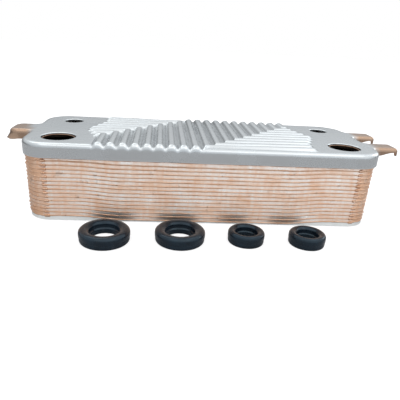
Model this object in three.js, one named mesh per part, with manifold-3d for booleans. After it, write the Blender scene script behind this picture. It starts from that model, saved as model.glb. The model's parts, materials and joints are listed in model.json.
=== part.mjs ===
// A brazed plate heat exchanger, as fitted in a combination boiler, with its four loose port seals.
// A ribbed cover plate with four ports is folded down over a nest of dished channel plates. Every plate
// has a flared skirt that fits over the skirt of the plate below it, a bead of copper braze runs along
// each skirt's lip, and a blank end plate closes the nest. The seals lie on the bench in front.
//
// Units are millimetres. +X runs along the plates, +Y towards the small ports and +Z out of the ports.
// The origin is the middle of the four ports, on the plane that the end plate's lip stands on.

import * as THREE from 'three';
import { mergeVertices } from 'three/addons/utils/BufferGeometryUtils.js';
import Module from 'manifold-3d';

// Ports
const PORT_SPACING_X = 154; // between the ports' centres
const PORT_SPACING_Y = 42;
const LARGE_PORT_D = 17.4;
const SMALL_PORT_D = 10.8;
const PORT_LEDGE = 0.7; // how far each channel plate's hole is smaller than the cover's, on the radius

// Plates
const CHANNEL_PLATES = 15;
const PLATE_PITCH = 2.12;
const PLATE_END_MARGIN = 16.4; // from a port's centre to the skirt's lip at the plate's end
const PLATE_SIDE_MARGIN = 14.9; // and at its side
const PLATE_CORNER_R = 12.8;
const PLATE_SHEET = 0.35;
const END_SHEET = 1.0;
const NEST_GAP = 0.08; // the capillary gap between one skirt and the next
const COLLAR_WALL = 2.2; // width of the raised ring that seals a port from a channel

// Cover
const COVER_SHEET = 1.0;
const COVER_CLEARANCE = 0.7; // between the plates' lips and the inside of the cover's skirt
const SKIRT_DEPTH = 7.4;
const ROLL_R = 1.6; // outside radius along the cover's folded edge

// Fastening tabs on the cover's two ends
const LEFT_TAB_REACH = 12; // from the cover's end to the tab's tip
const LEFT_TAB_WIDTH = 17.6;
const LEFT_TAB_TIP_R = 5;
const LEFT_TAB_DEPTH = 5.2;
const PRONG_REACH = 14.4;
const PRONG_WIDTH = 12.2;
const PRONG_LAND = 0.3; // straight edge left between a prong's fillet and the cover's round corner
const PRONG_TIP_R = 2.2;
const PRONG_DEPTH = 4.6;
const TAB_FILLET_R = 2.5; // in the corner between a tab and the cover's end

// Ribs pressed into the cover
const RIB_PITCH = 6.1;
const RIB_HEIGHT = 1.4;
const RIB_BASE = 4.6;
const RIB_CREST = 1.8;
const RIB_FIELD_LAND = 19; // from the ports' centre line to the end of the ribs at the sides
const RIB_FIELD_BULGE = 7.5; // how much further the ribs reach on the centre line
const LEFT_APEX_LAND = 15.5; // from the end of the ribs to the left row of corners, on the centre line
const RIGHT_APEX_LAND = 26.5; // and to the right row
const RIB_RIM = 2.4; // from a rib's end to the cover's long edge

// Braze
const BEAD_HEIGHT = 0.55;
const BEAD_PROUD = 0.22; // how far a bead stands out past the lip above it
const BEAD_GAP = 0.06; // between a bead and the plates that it joins

// Seals
const SEAL_HEIGHT = 6.2;
const LARGE_SEAL_D = 24.8;
const LARGE_SEAL_BORE = 12.6; // inside the lip at the bore's foot
const SMALL_SEAL_D = 18.3;
const SMALL_SEAL_BORE = 9.4;
const SEAL_FRONT_GAP = 6.2; // from the cover's long edge to the row of seals
const SEAL_LEFT_X = -62.3; // the left side of the first seal
const SEAL_GAPS = [0, 11.7, 11.45, 12.5]; // from the seal before to each
const SEAL_STEPS_Y = [-0.8, 0.5, 0.5, -0.6]; // each one's place before or behind the row

// The seals' section, in shares of the ring's wall and height
const SEAL_EDGE_BEVEL = 0.06; // round the bore, at its foot and its mouth
const SEAL_FOOT_INSET = 0.1;
const SEAL_WAIST_INSET = 0.04;
const SEAL_WAIST_LOW = 0.1;
const SEAL_WAIST_HIGH = 0.36;
const SEAL_BAND_LOW = 0.42;
const SEAL_BAND_HIGH = 0.8;
const SEAL_CROWN_INSET = 0.2;
const SEAL_MOUTH_INSET = 0.14; // how much wider the bore is above its lip
const SEAL_MOUTH_HIGH = 0.93;
const SEAL_LEDGE_HIGH = 0.5;
const SEAL_LEDGE_LOW = 0.42;
const SEAL_LIP_LOW = 0.1;

// Facets: an arc in an outline has twice its number of steps
const PLATE_ARC_STEPS = 2;
const COVER_ARC_STEPS = 2;
const PLATE_HOLE_STEPS = 12;
const COVER_HOLE_STEPS = 24;
const ROLL_STEPS = 2;
const SEAL_TURN_STEPS = 20;
const OVERCUT = 1; // how far a cutter runs past the face that it opens
const WELD = 1e-5; // points closer than this are one

// Worked out
const PORT_X = PORT_SPACING_X / 2;
const PORT_Y = PORT_SPACING_Y / 2;
const HALF_L = PORT_X + PLATE_END_MARGIN;
const HALF_W = PORT_Y + PLATE_SIDE_MARGIN;
const SKIRT_SLOPE = (PLATE_SHEET + NEST_GAP) / PLATE_PITCH;
const CHANNEL = PLATE_PITCH - PLATE_SHEET;
const PLATE_DEPTH = SKIRT_DEPTH - COVER_SHEET + PLATE_SHEET; // from a plate's lip to the top of its floor
const COVER_LIP_Z = (CHANNEL_PLATES + 1) * PLATE_PITCH;
const TOP_Z = COVER_LIP_Z + SKIRT_DEPTH;
const COVER_GROWTH = COVER_CLEARANCE + COVER_SHEET;
const COVER_HALF_L = HALF_L + COVER_GROWTH;
const COVER_HALF_W = HALF_W + COVER_GROWTH;
const COVER_CORNER_R = PLATE_CORNER_R + COVER_GROWTH;
const PRONG_OUTER_Y = COVER_HALF_W - COVER_CORNER_R - TAB_FILLET_R - PRONG_LAND;
const PRONG_INNER_Y = PRONG_OUTER_Y - PRONG_WIDTH;
const RIB_FIELD_END = PORT_X - RIB_FIELD_LAND;
const RIBS_EACH_SIDE = Math.floor(RIB_FIELD_END / RIB_PITCH);

const PORTS = [
  { x: -PORT_X, y: -PORT_Y, radius: LARGE_PORT_D / 2, large: true },
  { x: PORT_X, y: -PORT_Y, radius: LARGE_PORT_D / 2, large: true },
  { x: -PORT_X, y: PORT_Y, radius: SMALL_PORT_D / 2, large: false },
  { x: PORT_X, y: PORT_Y, radius: SMALL_PORT_D / 2, large: false },
];

const wasm = await Module();
wasm.setup();

// ---------------------------------------------------------------------------------------------------
// Solids and meshes

/** A closed geometry as a manifold solid. */
function solidOf(geometry) {
  let plain = geometry.index ? geometry.toNonIndexed() : geometry.clone();
  plain.deleteAttribute('normal');
  plain.deleteAttribute('uv');
  plain = mergeVertices(plain, WELD);
  return new wasm.Manifold(new wasm.Mesh({
    numProp: 3,
    vertProperties: new Float32Array(plain.attributes.position.array),
    triVerts: new Uint32Array(plain.index.array),
  }));
}

/** A manifold solid as a geometry with flat-shaded faces. */
function geometryOf(solid) {
  const mesh = solid.getMesh();
  const geometry = new THREE.BufferGeometry();
  geometry.setAttribute('position', new THREE.BufferAttribute(mesh.vertProperties, mesh.numProp));
  geometry.setIndex(new THREE.BufferAttribute(mesh.triVerts, 1));
  const flat = geometry.toNonIndexed();
  flat.computeVertexNormals();
  return flat;
}

/** All the solids of a list joined together. */
function joined(solids) {
  return solids.reduce((whole, solid) => whole.add(solid));
}

/** The first solid with all the others cut away. */
function cut(solid, cutters) {
  return cutters.reduce((rest, cutter) => rest.subtract(cutter), solid);
}

/** A shape extruded from one height to another. */
function prism(shape, zLow, zHigh) {
  const geometry = new THREE.ExtrudeGeometry(shape, {
    depth: zHigh - zLow,
    bevelEnabled: false,
    curveSegments: COVER_ARC_STEPS,
  });
  return solidOf(geometry.translate(0, 0, zLow));
}

/** An upright cylinder from one height to another. */
function post(x, y, radius, zLow, zHigh, steps) {
  const geometry = new THREE.CylinderGeometry(radius, radius, zHigh - zLow, steps);
  geometry.rotateX(Math.PI / 2);
  return solidOf(geometry.translate(x, y, (zLow + zHigh) / 2));
}

/** A block between two corners. */
function block(low, high) {
  const size = high.map((value, axis) => value - low[axis]);
  const geometry = new THREE.BoxGeometry(...size);
  return solidOf(geometry.translate(...low.map((value, axis) => value + size[axis] / 2)));
}

/** A named mesh in its own material. */
function piece(name, solidOrGeometry, finish) {
  const geometry = solidOrGeometry.isBufferGeometry ? solidOrGeometry : geometryOf(solidOrGeometry);
  const mesh = new THREE.Mesh(geometry, new THREE.MeshStandardMaterial(finish));
  mesh.name = name;
  return mesh;
}

/** A number with two digits, for names. */
function twoDigits(number) {
  return String(number).padStart(2, '0');
}

// ---------------------------------------------------------------------------------------------------
// The nest of plates

/** A rectangle with round corners about the origin. */
function roundedRectangle(halfLength, halfWidth, radius) {
  const shape = new THREE.Shape();
  const x = halfLength - radius;
  const y = halfWidth - radius;
  const quarter = Math.PI / 2;
  shape.absarc(x, y, radius, 0, quarter, false);
  shape.absarc(-x, y, radius, quarter, 2 * quarter, false);
  shape.absarc(-x, -y, radius, 2 * quarter, 3 * quarter, false);
  shape.absarc(x, -y, radius, 3 * quarter, 4 * quarter, false);
  return shape;
}

/** A block with a skirt's outline, which narrows at the skirts' slope from its lip height upwards. */
function flaredBlock(lipZ, inset, zLow, zHigh) {
  const radius = PLATE_CORNER_R - inset;
  const shape = roundedRectangle(HALF_L - inset, HALF_W - inset, radius);
  const geometry = new THREE.ExtrudeGeometry(shape, {
    depth: zHigh - zLow,
    bevelEnabled: false,
    curveSegments: PLATE_ARC_STEPS,
  });
  geometry.translate(0, 0, zLow);
  const centreX = HALF_L - PLATE_CORNER_R;
  const centreY = HALF_W - PLATE_CORNER_R;
  const points = geometry.attributes.position;
  for (let i = 0; i < points.count; i += 1) {
    const x = THREE.MathUtils.clamp(points.getX(i), -centreX, centreX);
    const y = THREE.MathUtils.clamp(points.getY(i), -centreY, centreY);
    const scale = (radius - SKIRT_SLOPE * (points.getZ(i) - lipZ)) / radius;
    points.setX(i, x + (points.getX(i) - x) * scale);
    points.setY(i, y + (points.getY(i) - y) * scale);
  }
  return solidOf(geometry);
}

/** A plate with a flat floor and a skirt that flares down to its lip. */
function dishedPlate(lipZ, sheet) {
  const floorTop = lipZ + PLATE_DEPTH;
  const outside = flaredBlock(lipZ, 0, lipZ, floorTop);
  const inside = flaredBlock(lipZ, sheet, lipZ - OVERCUT, floorTop - sheet);
  return outside.subtract(inside);
}

/** A channel plate: two of its ports stand in raised collars, and the other two open into the channel. */
function channelPlate(number) {
  const lipZ = COVER_LIP_Z - number * PLATE_PITCH;
  const floorTop = lipZ + PLATE_DEPTH;
  const collarTop = floorTop + CHANNEL - NEST_GAP;
  const sealsLarge = number % 2 === 1;
  const column = (port, wall, zLow, zHigh) => (
    post(port.x, port.y, port.radius - PORT_LEDGE + wall, zLow, zHigh, PLATE_HOLE_STEPS)
  );
  const collars = PORTS.filter((port) => port.large === sealsLarge)
    .map((port) => column(port, COLLAR_WALL, floorTop - PLATE_SHEET / 2, collarTop));
  const holes = PORTS.map((port) => column(port, 0, lipZ, collarTop + OVERCUT));
  return cut(joined([dishedPlate(lipZ, PLATE_SHEET), ...collars]), holes);
}

/** The bead of braze under the lip of the plate with this number, where 0 is the cover. */
function brazeBead(number) {
  const lipZ = COVER_LIP_Z - number * PLATE_PITCH;
  const belowZ = lipZ - PLATE_PITCH;
  const zHigh = lipZ - BEAD_GAP;
  const zLow = zHigh - BEAD_HEIGHT;
  const proud = number === 0 ? COVER_CLEARANCE + COVER_SHEET / 2 : BEAD_PROUD;
  const outside = flaredBlock(lipZ, -proud, zLow, zHigh);
  const inside = flaredBlock(belowZ, -BEAD_GAP, zLow - OVERCUT, zHigh + OVERCUT);
  return outside.subtract(inside);
}

// ---------------------------------------------------------------------------------------------------
// The cover

/**
 * One corner of an outline that is drawn anticlockwise, rounded by an arc.
 * A hollow corner turns the other way, and its radius grows where the others shrink.
 */
function roundCorner(shape, x, y, radius, startTurn, hollow) {
  const start = startTurn * Math.PI / 2;
  const end = start + (hollow ? -Math.PI / 2 : Math.PI / 2);
  shape.absarc(x, y, radius, start, end, hollow);
}

/** The cover's outline with its three tabs, drawn this far inside its outer face. */
function coverOutline(inset) {
  const shape = new THREE.Shape();
  const endX = COVER_HALF_L - inset;
  const cornerX = COVER_HALF_L - COVER_CORNER_R;
  const cornerY = COVER_HALF_W - COVER_CORNER_R;
  const cornerR = COVER_CORNER_R - inset;
  const filletR = TAB_FILLET_R + inset;
  const prongTipX = COVER_HALF_L + PRONG_REACH - PRONG_TIP_R;
  const prongTipR = PRONG_TIP_R - inset;
  const filletX = endX + filletR;
  const leftTipX = -(COVER_HALF_L + LEFT_TAB_REACH - LEFT_TAB_TIP_R);
  const leftTipY = LEFT_TAB_WIDTH / 2 - LEFT_TAB_TIP_R;
  const leftRootY = LEFT_TAB_WIDTH / 2 + TAB_FILLET_R;
  const leftTipR = LEFT_TAB_TIP_R - inset;

  roundCorner(shape, cornerX, -cornerY, cornerR, 3, false);
  roundCorner(shape, filletX, -(PRONG_OUTER_Y + TAB_FILLET_R), filletR, 2, true);
  roundCorner(shape, prongTipX, -(PRONG_OUTER_Y - PRONG_TIP_R), prongTipR, 3, false);
  roundCorner(shape, prongTipX, -(PRONG_INNER_Y + PRONG_TIP_R), prongTipR, 0, false);
  roundCorner(shape, filletX, -(PRONG_INNER_Y - TAB_FILLET_R), filletR, 3, true);
  roundCorner(shape, filletX, PRONG_INNER_Y - TAB_FILLET_R, filletR, 2, true);
  roundCorner(shape, prongTipX, PRONG_INNER_Y + PRONG_TIP_R, prongTipR, 3, false);
  roundCorner(shape, prongTipX, PRONG_OUTER_Y - PRONG_TIP_R, prongTipR, 0, false);
  roundCorner(shape, filletX, PRONG_OUTER_Y + TAB_FILLET_R, filletR, 3, true);
  roundCorner(shape, cornerX, cornerY, cornerR, 0, false);
  roundCorner(shape, -cornerX, cornerY, cornerR, 1, false);
  roundCorner(shape, -filletX, leftRootY, filletR, 0, true);
  roundCorner(shape, leftTipX, leftTipY, leftTipR, 1, false);
  roundCorner(shape, leftTipX, -leftTipY, leftTipR, 2, false);
  roundCorner(shape, -filletX, -leftRootY, filletR, 1, true);
  roundCorner(shape, -cornerX, -cornerY, cornerR, 2, false);
  return shape;
}

/** The solid inside the cover's outer face, with the folded edge rolled along its top. */
function coverOutside() {
  const geometry = new THREE.ExtrudeGeometry(coverOutline(0), {
    depth: SKIRT_DEPTH,
    bevelThickness: ROLL_R,
    bevelSize: ROLL_R,
    bevelOffset: -ROLL_R,
    bevelSegments: ROLL_STEPS,
    curveSegments: COVER_ARC_STEPS,
  });
  geometry.translate(0, 0, TOP_Z - SKIRT_DEPTH - ROLL_R);
  const reachX = COVER_HALF_L + Math.max(LEFT_TAB_REACH, PRONG_REACH) + OVERCUT;
  const reachY = COVER_HALF_W + OVERCUT;
  const above = block([-reachX, -reachY, COVER_LIP_Z], [reachX, reachY, TOP_Z + OVERCUT]);
  return solidOf(geometry).intersect(above);
}

/** The two blocks that shorten the skirt round the tabs. */
function tabRelief() {
  const low = COVER_LIP_Z - OVERCUT;
  const leftTip = -(COVER_HALF_L + LEFT_TAB_REACH + OVERCUT);
  const rightTip = COVER_HALF_L + PRONG_REACH + OVERCUT;
  const half = COVER_HALF_W + OVERCUT;
  return [
    block([leftTip, -half, low], [-COVER_HALF_L, half, TOP_Z - LEFT_TAB_DEPTH]),
    block([COVER_HALF_L, -half, low], [rightTip, half, TOP_Z - PRONG_DEPTH]),
  ];
}

/** One straight rib on the cover's top, along X or Y, with sloped flanks and ends. */
function ribBar(x1, y1, x2, y2) {
  const alongX = Math.abs(x2 - x1) > Math.abs(y2 - y1);
  const length = Math.hypot(x2 - x1, y2 - y1);
  const sunk = COVER_SHEET / 2;
  const section = new THREE.Shape([
    new THREE.Vector2(-RIB_BASE / 2, -sunk),
    new THREE.Vector2(RIB_BASE / 2, -sunk),
    new THREE.Vector2(RIB_BASE / 2, 0),
    new THREE.Vector2(RIB_CREST / 2, RIB_HEIGHT),
    new THREE.Vector2(-RIB_CREST / 2, RIB_HEIGHT),
    new THREE.Vector2(-RIB_BASE / 2, 0),
  ]);
  const geometry = new THREE.ExtrudeGeometry(section, { depth: length, bevelEnabled: false });
  geometry.translate(0, 0, -length / 2);
  geometry.rotateX(Math.PI / 2);
  if (alongX) geometry.rotateZ(Math.PI / 2);
  return solidOf(geometry.translate((x1 + x2) / 2, (y1 + y2) / 2, TOP_Z));
}

/** How far out the ribs reach along X at this distance from the centre line. */
function ribFieldReach(y) {
  return RIB_FIELD_END + RIB_FIELD_BULGE * Math.max(0, 1 - Math.abs(y) / PORT_Y);
}

/**
 * The cover's ribs: each runs along Y in the middle field and turns along X at a row of corners.
 * Both rows of corners slant by 45 degrees.
 */
function ribs() {
  const rimY = COVER_HALF_W - RIB_RIM;
  const fits = (y) => Math.abs(y) < rimY - RIB_BASE / 2;
  const bars = [];
  for (let i = -RIBS_EACH_SIDE; i <= RIBS_EACH_SIDE; i += 1) {
    const x = i * RIB_PITCH;
    const leftY = x + (RIB_FIELD_END - LEFT_APEX_LAND);
    const rightY = x - (RIB_FIELD_END - RIGHT_APEX_LAND);
    const backY = Math.min(rimY, leftY);
    const frontY = Math.max(-rimY, rightY);
    bars.push(ribBar(x, frontY, x, backY));
    if (fits(leftY)) bars.push(ribBar(-ribFieldReach(leftY), leftY, x + RIB_BASE / 2, leftY));
    if (fits(rightY)) bars.push(ribBar(x - RIB_BASE / 2, rightY, ribFieldReach(rightY), rightY));
  }
  return bars;
}

/** The cover plate, hollow below, with ports, ribs and tabs. */
function coverPlate() {
  const inside = prism(coverOutline(COVER_SHEET), COVER_LIP_Z - OVERCUT, TOP_Z - COVER_SHEET);
  const ports = PORTS.map((port) => (
    post(port.x, port.y, port.radius, COVER_LIP_Z, TOP_Z + OVERCUT, COVER_HOLE_STEPS)
  ));
  return cut(joined([coverOutside(), ...ribs()]), [inside, ...tabRelief(), ...ports]);
}

// ---------------------------------------------------------------------------------------------------
// The seals

/** A port seal: a rubber ring with a bevelled crown, a step round its side and a lip in its bore. */
function sealRing(diameter, bore) {
  const outer = diameter / 2;
  const inner = bore / 2;
  const wall = outer - inner;
  const corner = (radius, share) => new THREE.Vector2(radius, share * SEAL_HEIGHT);
  const foot = inner + SEAL_EDGE_BEVEL * wall;
  const mouth = inner + SEAL_MOUTH_INSET * wall;
  const waist = outer - SEAL_WAIST_INSET * wall;
  const profile = [
    corner(foot, 0),
    corner(outer - SEAL_FOOT_INSET * wall, 0),
    corner(waist, SEAL_WAIST_LOW),
    corner(waist, SEAL_WAIST_HIGH),
    corner(outer, SEAL_BAND_LOW),
    corner(outer, SEAL_BAND_HIGH),
    corner(outer - SEAL_CROWN_INSET * wall, 1),
    corner(mouth + SEAL_EDGE_BEVEL * wall, 1),
    corner(mouth, SEAL_MOUTH_HIGH),
    corner(mouth, SEAL_LEDGE_HIGH),
    corner(inner, SEAL_LEDGE_LOW),
    corner(inner, SEAL_LIP_LOW),
    corner(foot, 0),
  ];
  const geometry = new THREE.LatheGeometry(profile, SEAL_TURN_STEPS);
  return geometry.rotateX(Math.PI / 2);
}

// ---------------------------------------------------------------------------------------------------
// The whole object

const STAINLESS = { color: 0xb4b8bb, roughness: 0.34, metalness: 0.9 };
const CHANNEL_STEEL = { color: 0xc2b1a6, roughness: 0.4, metalness: 0.85 };
const END_STEEL = { color: 0xccd0cf, roughness: 0.42, metalness: 0.85 };
const COPPER = { color: 0xb87a56, roughness: 0.42, metalness: 0.9 };
const RUBBER = { color: 0x1b2026, roughness: 0.55, metalness: 0.0 };

const SEALS = [
  { name: 'large_port_seal_left', diameter: LARGE_SEAL_D, bore: LARGE_SEAL_BORE },
  { name: 'large_port_seal_right', diameter: LARGE_SEAL_D, bore: LARGE_SEAL_BORE },
  { name: 'small_port_seal_left', diameter: SMALL_SEAL_D, bore: SMALL_SEAL_BORE },
  { name: 'small_port_seal_right', diameter: SMALL_SEAL_D, bore: SMALL_SEAL_BORE },
];

/** The four seals, lying in a row in front of the exchanger. */
function seals() {
  const rowY = -(COVER_HALF_W + SEAL_FRONT_GAP + LARGE_SEAL_D / 2);
  let x = SEAL_LEFT_X;
  return SEALS.map(({ name, diameter, bore }, index) => {
    x += SEAL_GAPS[index] + diameter / 2;
    const mesh = piece(name, geometryOf(solidOf(sealRing(diameter, bore))), RUBBER);
    mesh.position.set(x, rowY + SEAL_STEPS_Y[index], 0);
    x += diameter / 2;
    return mesh;
  });
}

const group = new THREE.Group();
group.add(piece('cover_plate', coverPlate(), STAINLESS));
for (let number = 1; number <= CHANNEL_PLATES; number += 1) {
  group.add(piece(`channel_plate_${twoDigits(number)}`, channelPlate(number), CHANNEL_STEEL));
}
group.add(piece('end_plate', dishedPlate(0, END_SHEET), END_STEEL));
for (let number = 0; number <= CHANNEL_PLATES; number += 1) {
  group.add(piece(`braze_bead_${twoDigits(number + 1)}`, brazeBead(number), COPPER));
}
group.add(...seals());

export default group;
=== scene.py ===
"""A brazed plate heat exchanger with its four loose port seals, dressed for close views.

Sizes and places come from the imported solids. Lengths are in metres, and the classes below hold the
few sizes that the solids leave out in millimetres, which the constant MM turns into metres.
"""

from __future__ import annotations

import json
import logging
import math
from dataclasses import dataclass, field
from enum import Enum
from typing import Sequence, Union

import bpy
import numpy as np
from mathutils import Matrix, Vector, noise
from mathutils.geometry import delaunay_2d_cdt


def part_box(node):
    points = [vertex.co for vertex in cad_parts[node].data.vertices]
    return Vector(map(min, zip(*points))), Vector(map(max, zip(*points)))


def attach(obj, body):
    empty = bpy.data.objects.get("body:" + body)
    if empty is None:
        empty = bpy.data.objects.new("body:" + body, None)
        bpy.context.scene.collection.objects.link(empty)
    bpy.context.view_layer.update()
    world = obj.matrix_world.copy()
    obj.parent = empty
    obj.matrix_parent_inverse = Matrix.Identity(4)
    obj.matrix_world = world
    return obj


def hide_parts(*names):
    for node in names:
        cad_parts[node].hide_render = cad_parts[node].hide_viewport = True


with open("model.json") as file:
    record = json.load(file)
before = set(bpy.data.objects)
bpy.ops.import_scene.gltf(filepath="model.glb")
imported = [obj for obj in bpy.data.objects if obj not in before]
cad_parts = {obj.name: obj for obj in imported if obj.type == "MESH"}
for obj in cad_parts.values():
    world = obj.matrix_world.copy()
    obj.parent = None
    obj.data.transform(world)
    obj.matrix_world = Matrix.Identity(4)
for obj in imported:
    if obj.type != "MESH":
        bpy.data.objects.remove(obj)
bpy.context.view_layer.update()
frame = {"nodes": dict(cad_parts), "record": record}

MM = 0.001
LOG = logging.getLogger("exchanger")

EXCHANGER_BODY = "exchanger"
PRESS_WEIGHT = "press"
COPPER_WASH = "wash"
PORT_SHADE = "soot"
BEAD_SWELL = "swell"
BEAD_LUMP = "lump"

SHARP_ANGLE = math.radians(58)
COVER_OVERHANG = 1.2 * MM  # how far the cover stands out past the plates at each end
HOLE_STEP = 0.8 * MM  # between the points round a port
HOLE_POINTS = 24  # at least this many round a port
PROFILE_STEPS = 5  # points in each rounded corner of a seal's section
CURVE_LIMIT = 0.45  # a rounding takes at most this share of a side

Number = Union[float, "Term"]
Colour = tuple[float, float, float, float]


# ----------------------------------------------------------------------------------------------------
# Node trees


class Term:
    """A number in a node tree, on which ordinary arithmetic adds Math nodes."""

    def __init__(self, wiring: "Wiring", socket: bpy.types.NodeSocket) -> None:
        """Wraps one output socket.

        Args:
            wiring: the tree's wiring.
            socket: the output that holds the number.
        """
        self.wiring = wiring
        self.socket = socket

    def math(self, operation: str, *others: Number) -> "Term":
        """Adds a Math node that starts with this number.

        Args:
            operation: Blender's name of the operation.
            others: the operation's other numbers.

        Returns:
            The node's result.
        """
        inputs = dict(enumerate((self, *others)))
        made = self.wiring.node("ShaderNodeMath", inputs, operation=operation)
        return Term(self.wiring, made.outputs[0])

    def __add__(self, other: Number) -> "Term":
        """The sum."""
        return self.math("ADD", other)

    def __radd__(self, other: Number) -> "Term":
        """The sum."""
        return self.math("ADD", other)

    def __sub__(self, other: Number) -> "Term":
        """The difference."""
        return self.math("SUBTRACT", other)

    def __rsub__(self, other: float) -> "Term":
        """A plain number less this one."""
        return self.math("MULTIPLY", -1.0).math("ADD", other)

    def __mul__(self, other: Number) -> "Term":
        """The product."""
        return self.math("MULTIPLY", other)

    def __rmul__(self, other: Number) -> "Term":
        """The product."""
        return self.math("MULTIPLY", other)

    def __truediv__(self, other: Number) -> "Term":
        """The quotient."""
        return self.math("DIVIDE", other)

    def clipped(self) -> "Term":
        """The number held between 0 and 1."""
        return self.math("MAXIMUM", 0.0).math("MINIMUM", 1.0)

    def smooth_step(self, low: Number, high: Number) -> "Term":
        """Turns the number into a smooth step.

        Args:
            low: where the step starts, with the value 0.
            high: where it ends, with the value 1.

        Returns:
            The step's value.
        """
        inputs = {0: self, 1: low, 2: high, 3: 0.0, 4: 1.0}
        made = self.wiring.node("ShaderNodeMapRange", inputs, interpolation_type="SMOOTHSTEP")
        return Term(self.wiring, made.outputs[0])


class Wiring:
    """Adds nodes to one tree and links them."""

    def __init__(self, tree: bpy.types.NodeTree) -> None:
        """Starts on a tree.

        Args:
            tree: a shader or geometry node tree.
        """
        self.tree = tree

    def node(self, kind: str, inputs: dict | None = None, **settings: object) -> bpy.types.Node:
        """Adds a node.

        Args:
            kind: the node's type name.
            inputs: values, terms or sockets by input name or index.
            settings: the node's own properties.

        Returns:
            The new node.
        """
        made = self.tree.nodes.new(kind)
        for name, value in settings.items():
            setattr(made, name, value)
        for key, value in (inputs or {}).items():
            self.feed(made.inputs[key], value)
        return made

    def feed(self, target: bpy.types.NodeSocket, value: object) -> None:
        """Links a socket or sets its value.

        Args:
            target: the input socket.
            value: a term, an output socket or a plain value.
        """
        if isinstance(value, Term):
            self.tree.links.new(value.socket, target)
        elif isinstance(value, bpy.types.NodeSocket):
            self.tree.links.new(value, target)
        else:
            target.default_value = value

    def term(self, socket: bpy.types.NodeSocket) -> Term:
        """The number in a socket."""
        return Term(self, socket)

    def mix(self, share: Number, first: object, second: object) -> bpy.types.NodeSocket:
        """Mixes two colours.

        Args:
            share: how much of the second there is.
            first: a colour or a colour socket.
            second: a colour or a colour socket.

        Returns:
            The mixed colour's socket.
        """
        made = self.node("ShaderNodeMix", data_type="RGBA", clamp_factor=True)
        self.feed(made.inputs[0], share)
        self.feed(made.inputs[6], first)
        self.feed(made.inputs[7], second)
        return made.outputs[2]

    def noise(self, vector: object, scale: Number, detail: float = 3.0, distortion: float = 0.0) -> Term:
        """A noise value about 0.5.

        Args:
            vector: the coordinates.
            scale: how many cells there are in a metre.
            detail: how many finer layers are added.
            distortion: how much the pattern is bent.

        Returns:
            The noise.
        """
        inputs = {"Vector": vector, "Scale": scale, "Detail": detail, "Distortion": distortion}
        return self.term(self.node("ShaderNodeTexNoise", inputs).outputs[0])

    def stretched(self, vector: object, scale: Sequence[float]) -> bpy.types.NodeSocket:
        """Coordinates scaled along each axis.

        Args:
            vector: the coordinates.
            scale: the three factors.

        Returns:
            The scaled coordinates.
        """
        inputs = {0: vector, 1: tuple(scale)}
        return self.node("ShaderNodeVectorMath", inputs, operation="MULTIPLY").outputs[0]


class TreeKind(Enum):
    """The two kinds of node tree used here."""

    SHADER = "ShaderNodeTree"
    GEOMETRY = "GeometryNodeTree"


def new_group(
    name: str, kind: TreeKind, inputs: dict[str, tuple[str, object]], outputs: dict[str, str]
) -> tuple[bpy.types.NodeTree, Wiring, bpy.types.Node, bpy.types.Node]:
    """Starts a node group with named inputs and outputs.

    Args:
        name: the group's name.
        kind: which kind of tree it is.
        inputs: each input's socket type and default, by name.
        outputs: each output's socket type, by name.

    Returns:
        The tree, its wiring, and its input and output nodes.
    """
    tree = bpy.data.node_groups.new(name, kind.value)
    for label, (socket_type, default) in inputs.items():
        socket = tree.interface.new_socket(label, in_out="INPUT", socket_type=socket_type)
        if default is not None:
            socket.default_value = default
    for label, socket_type in outputs.items():
        tree.interface.new_socket(label, in_out="OUTPUT", socket_type=socket_type)
    wiring = Wiring(tree)
    return tree, wiring, wiring.node("NodeGroupInput"), wiring.node("NodeGroupOutput")


def shape_with(piece: bpy.types.Object, tree: bpy.types.NodeTree, values: dict[str, object],
               sheet: float = 0.0) -> None:
    """Runs a geometry tree on a piece, gives it a wall if asked, and keeps the result as a plain mesh.

    Args:
        piece: the object to shape.
        tree: a geometry node group.
        values: the group's inputs by name.
        sheet: the wall's thickness in metres, grown inwards, or 0 for none.
    """
    modifier = piece.modifiers.new(tree.name, "NODES")
    modifier.node_group = tree
    sockets = {item.name: item.identifier for item in tree.interface.items_tree if item.in_out == "INPUT"}
    for name, value in values.items():
        modifier[sockets[name]] = value
    if sheet:
        wall = piece.modifiers.new("sheet", "SOLIDIFY")
        wall.thickness = sheet
        wall.offset = -1.0
    depsgraph = bpy.context.evaluated_depsgraph_get()
    shaped = bpy.data.meshes.new_from_object(piece.evaluated_get(depsgraph), depsgraph=depsgraph)
    plain, piece.data = piece.data, shaped
    piece.modifiers.clear()
    bpy.data.meshes.remove(plain)
    shaped.name = piece.name


# ----------------------------------------------------------------------------------------------------
# Finishes


def grain_group() -> bpy.types.NodeTree:
    """Builds the fine directional grain that rolling and polishing leave in sheet.

    Returns:
        A group that puts out a height and a roughness change, both about 0.5.
    """
    inputs = {
        "Vector": ("NodeSocketVector", None),
        "Lines per metre": ("NodeSocketFloat", 2600.0),
        "Pits per metre": ("NodeSocketFloat", 1500.0),
    }
    outputs = {"Height": "NodeSocketFloat", "Change": "NodeSocketFloat"}
    tree, wiring, source, sink = new_group("sheet_grain", TreeKind.SHADER, inputs, outputs)
    lines_at = wiring.stretched(source.outputs["Vector"], (0.05, 1.0, 1.0))
    lines = wiring.noise(lines_at, source.outputs["Lines per metre"], 2.0)
    pits = wiring.noise(source.outputs["Vector"], source.outputs["Pits per metre"], 4.0)
    wiring.feed(sink.inputs["Height"], lines * 0.6 + pits * 0.4)
    wiring.feed(sink.inputs["Change"], lines * 0.5 + pits * 0.5)
    return tree


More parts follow.
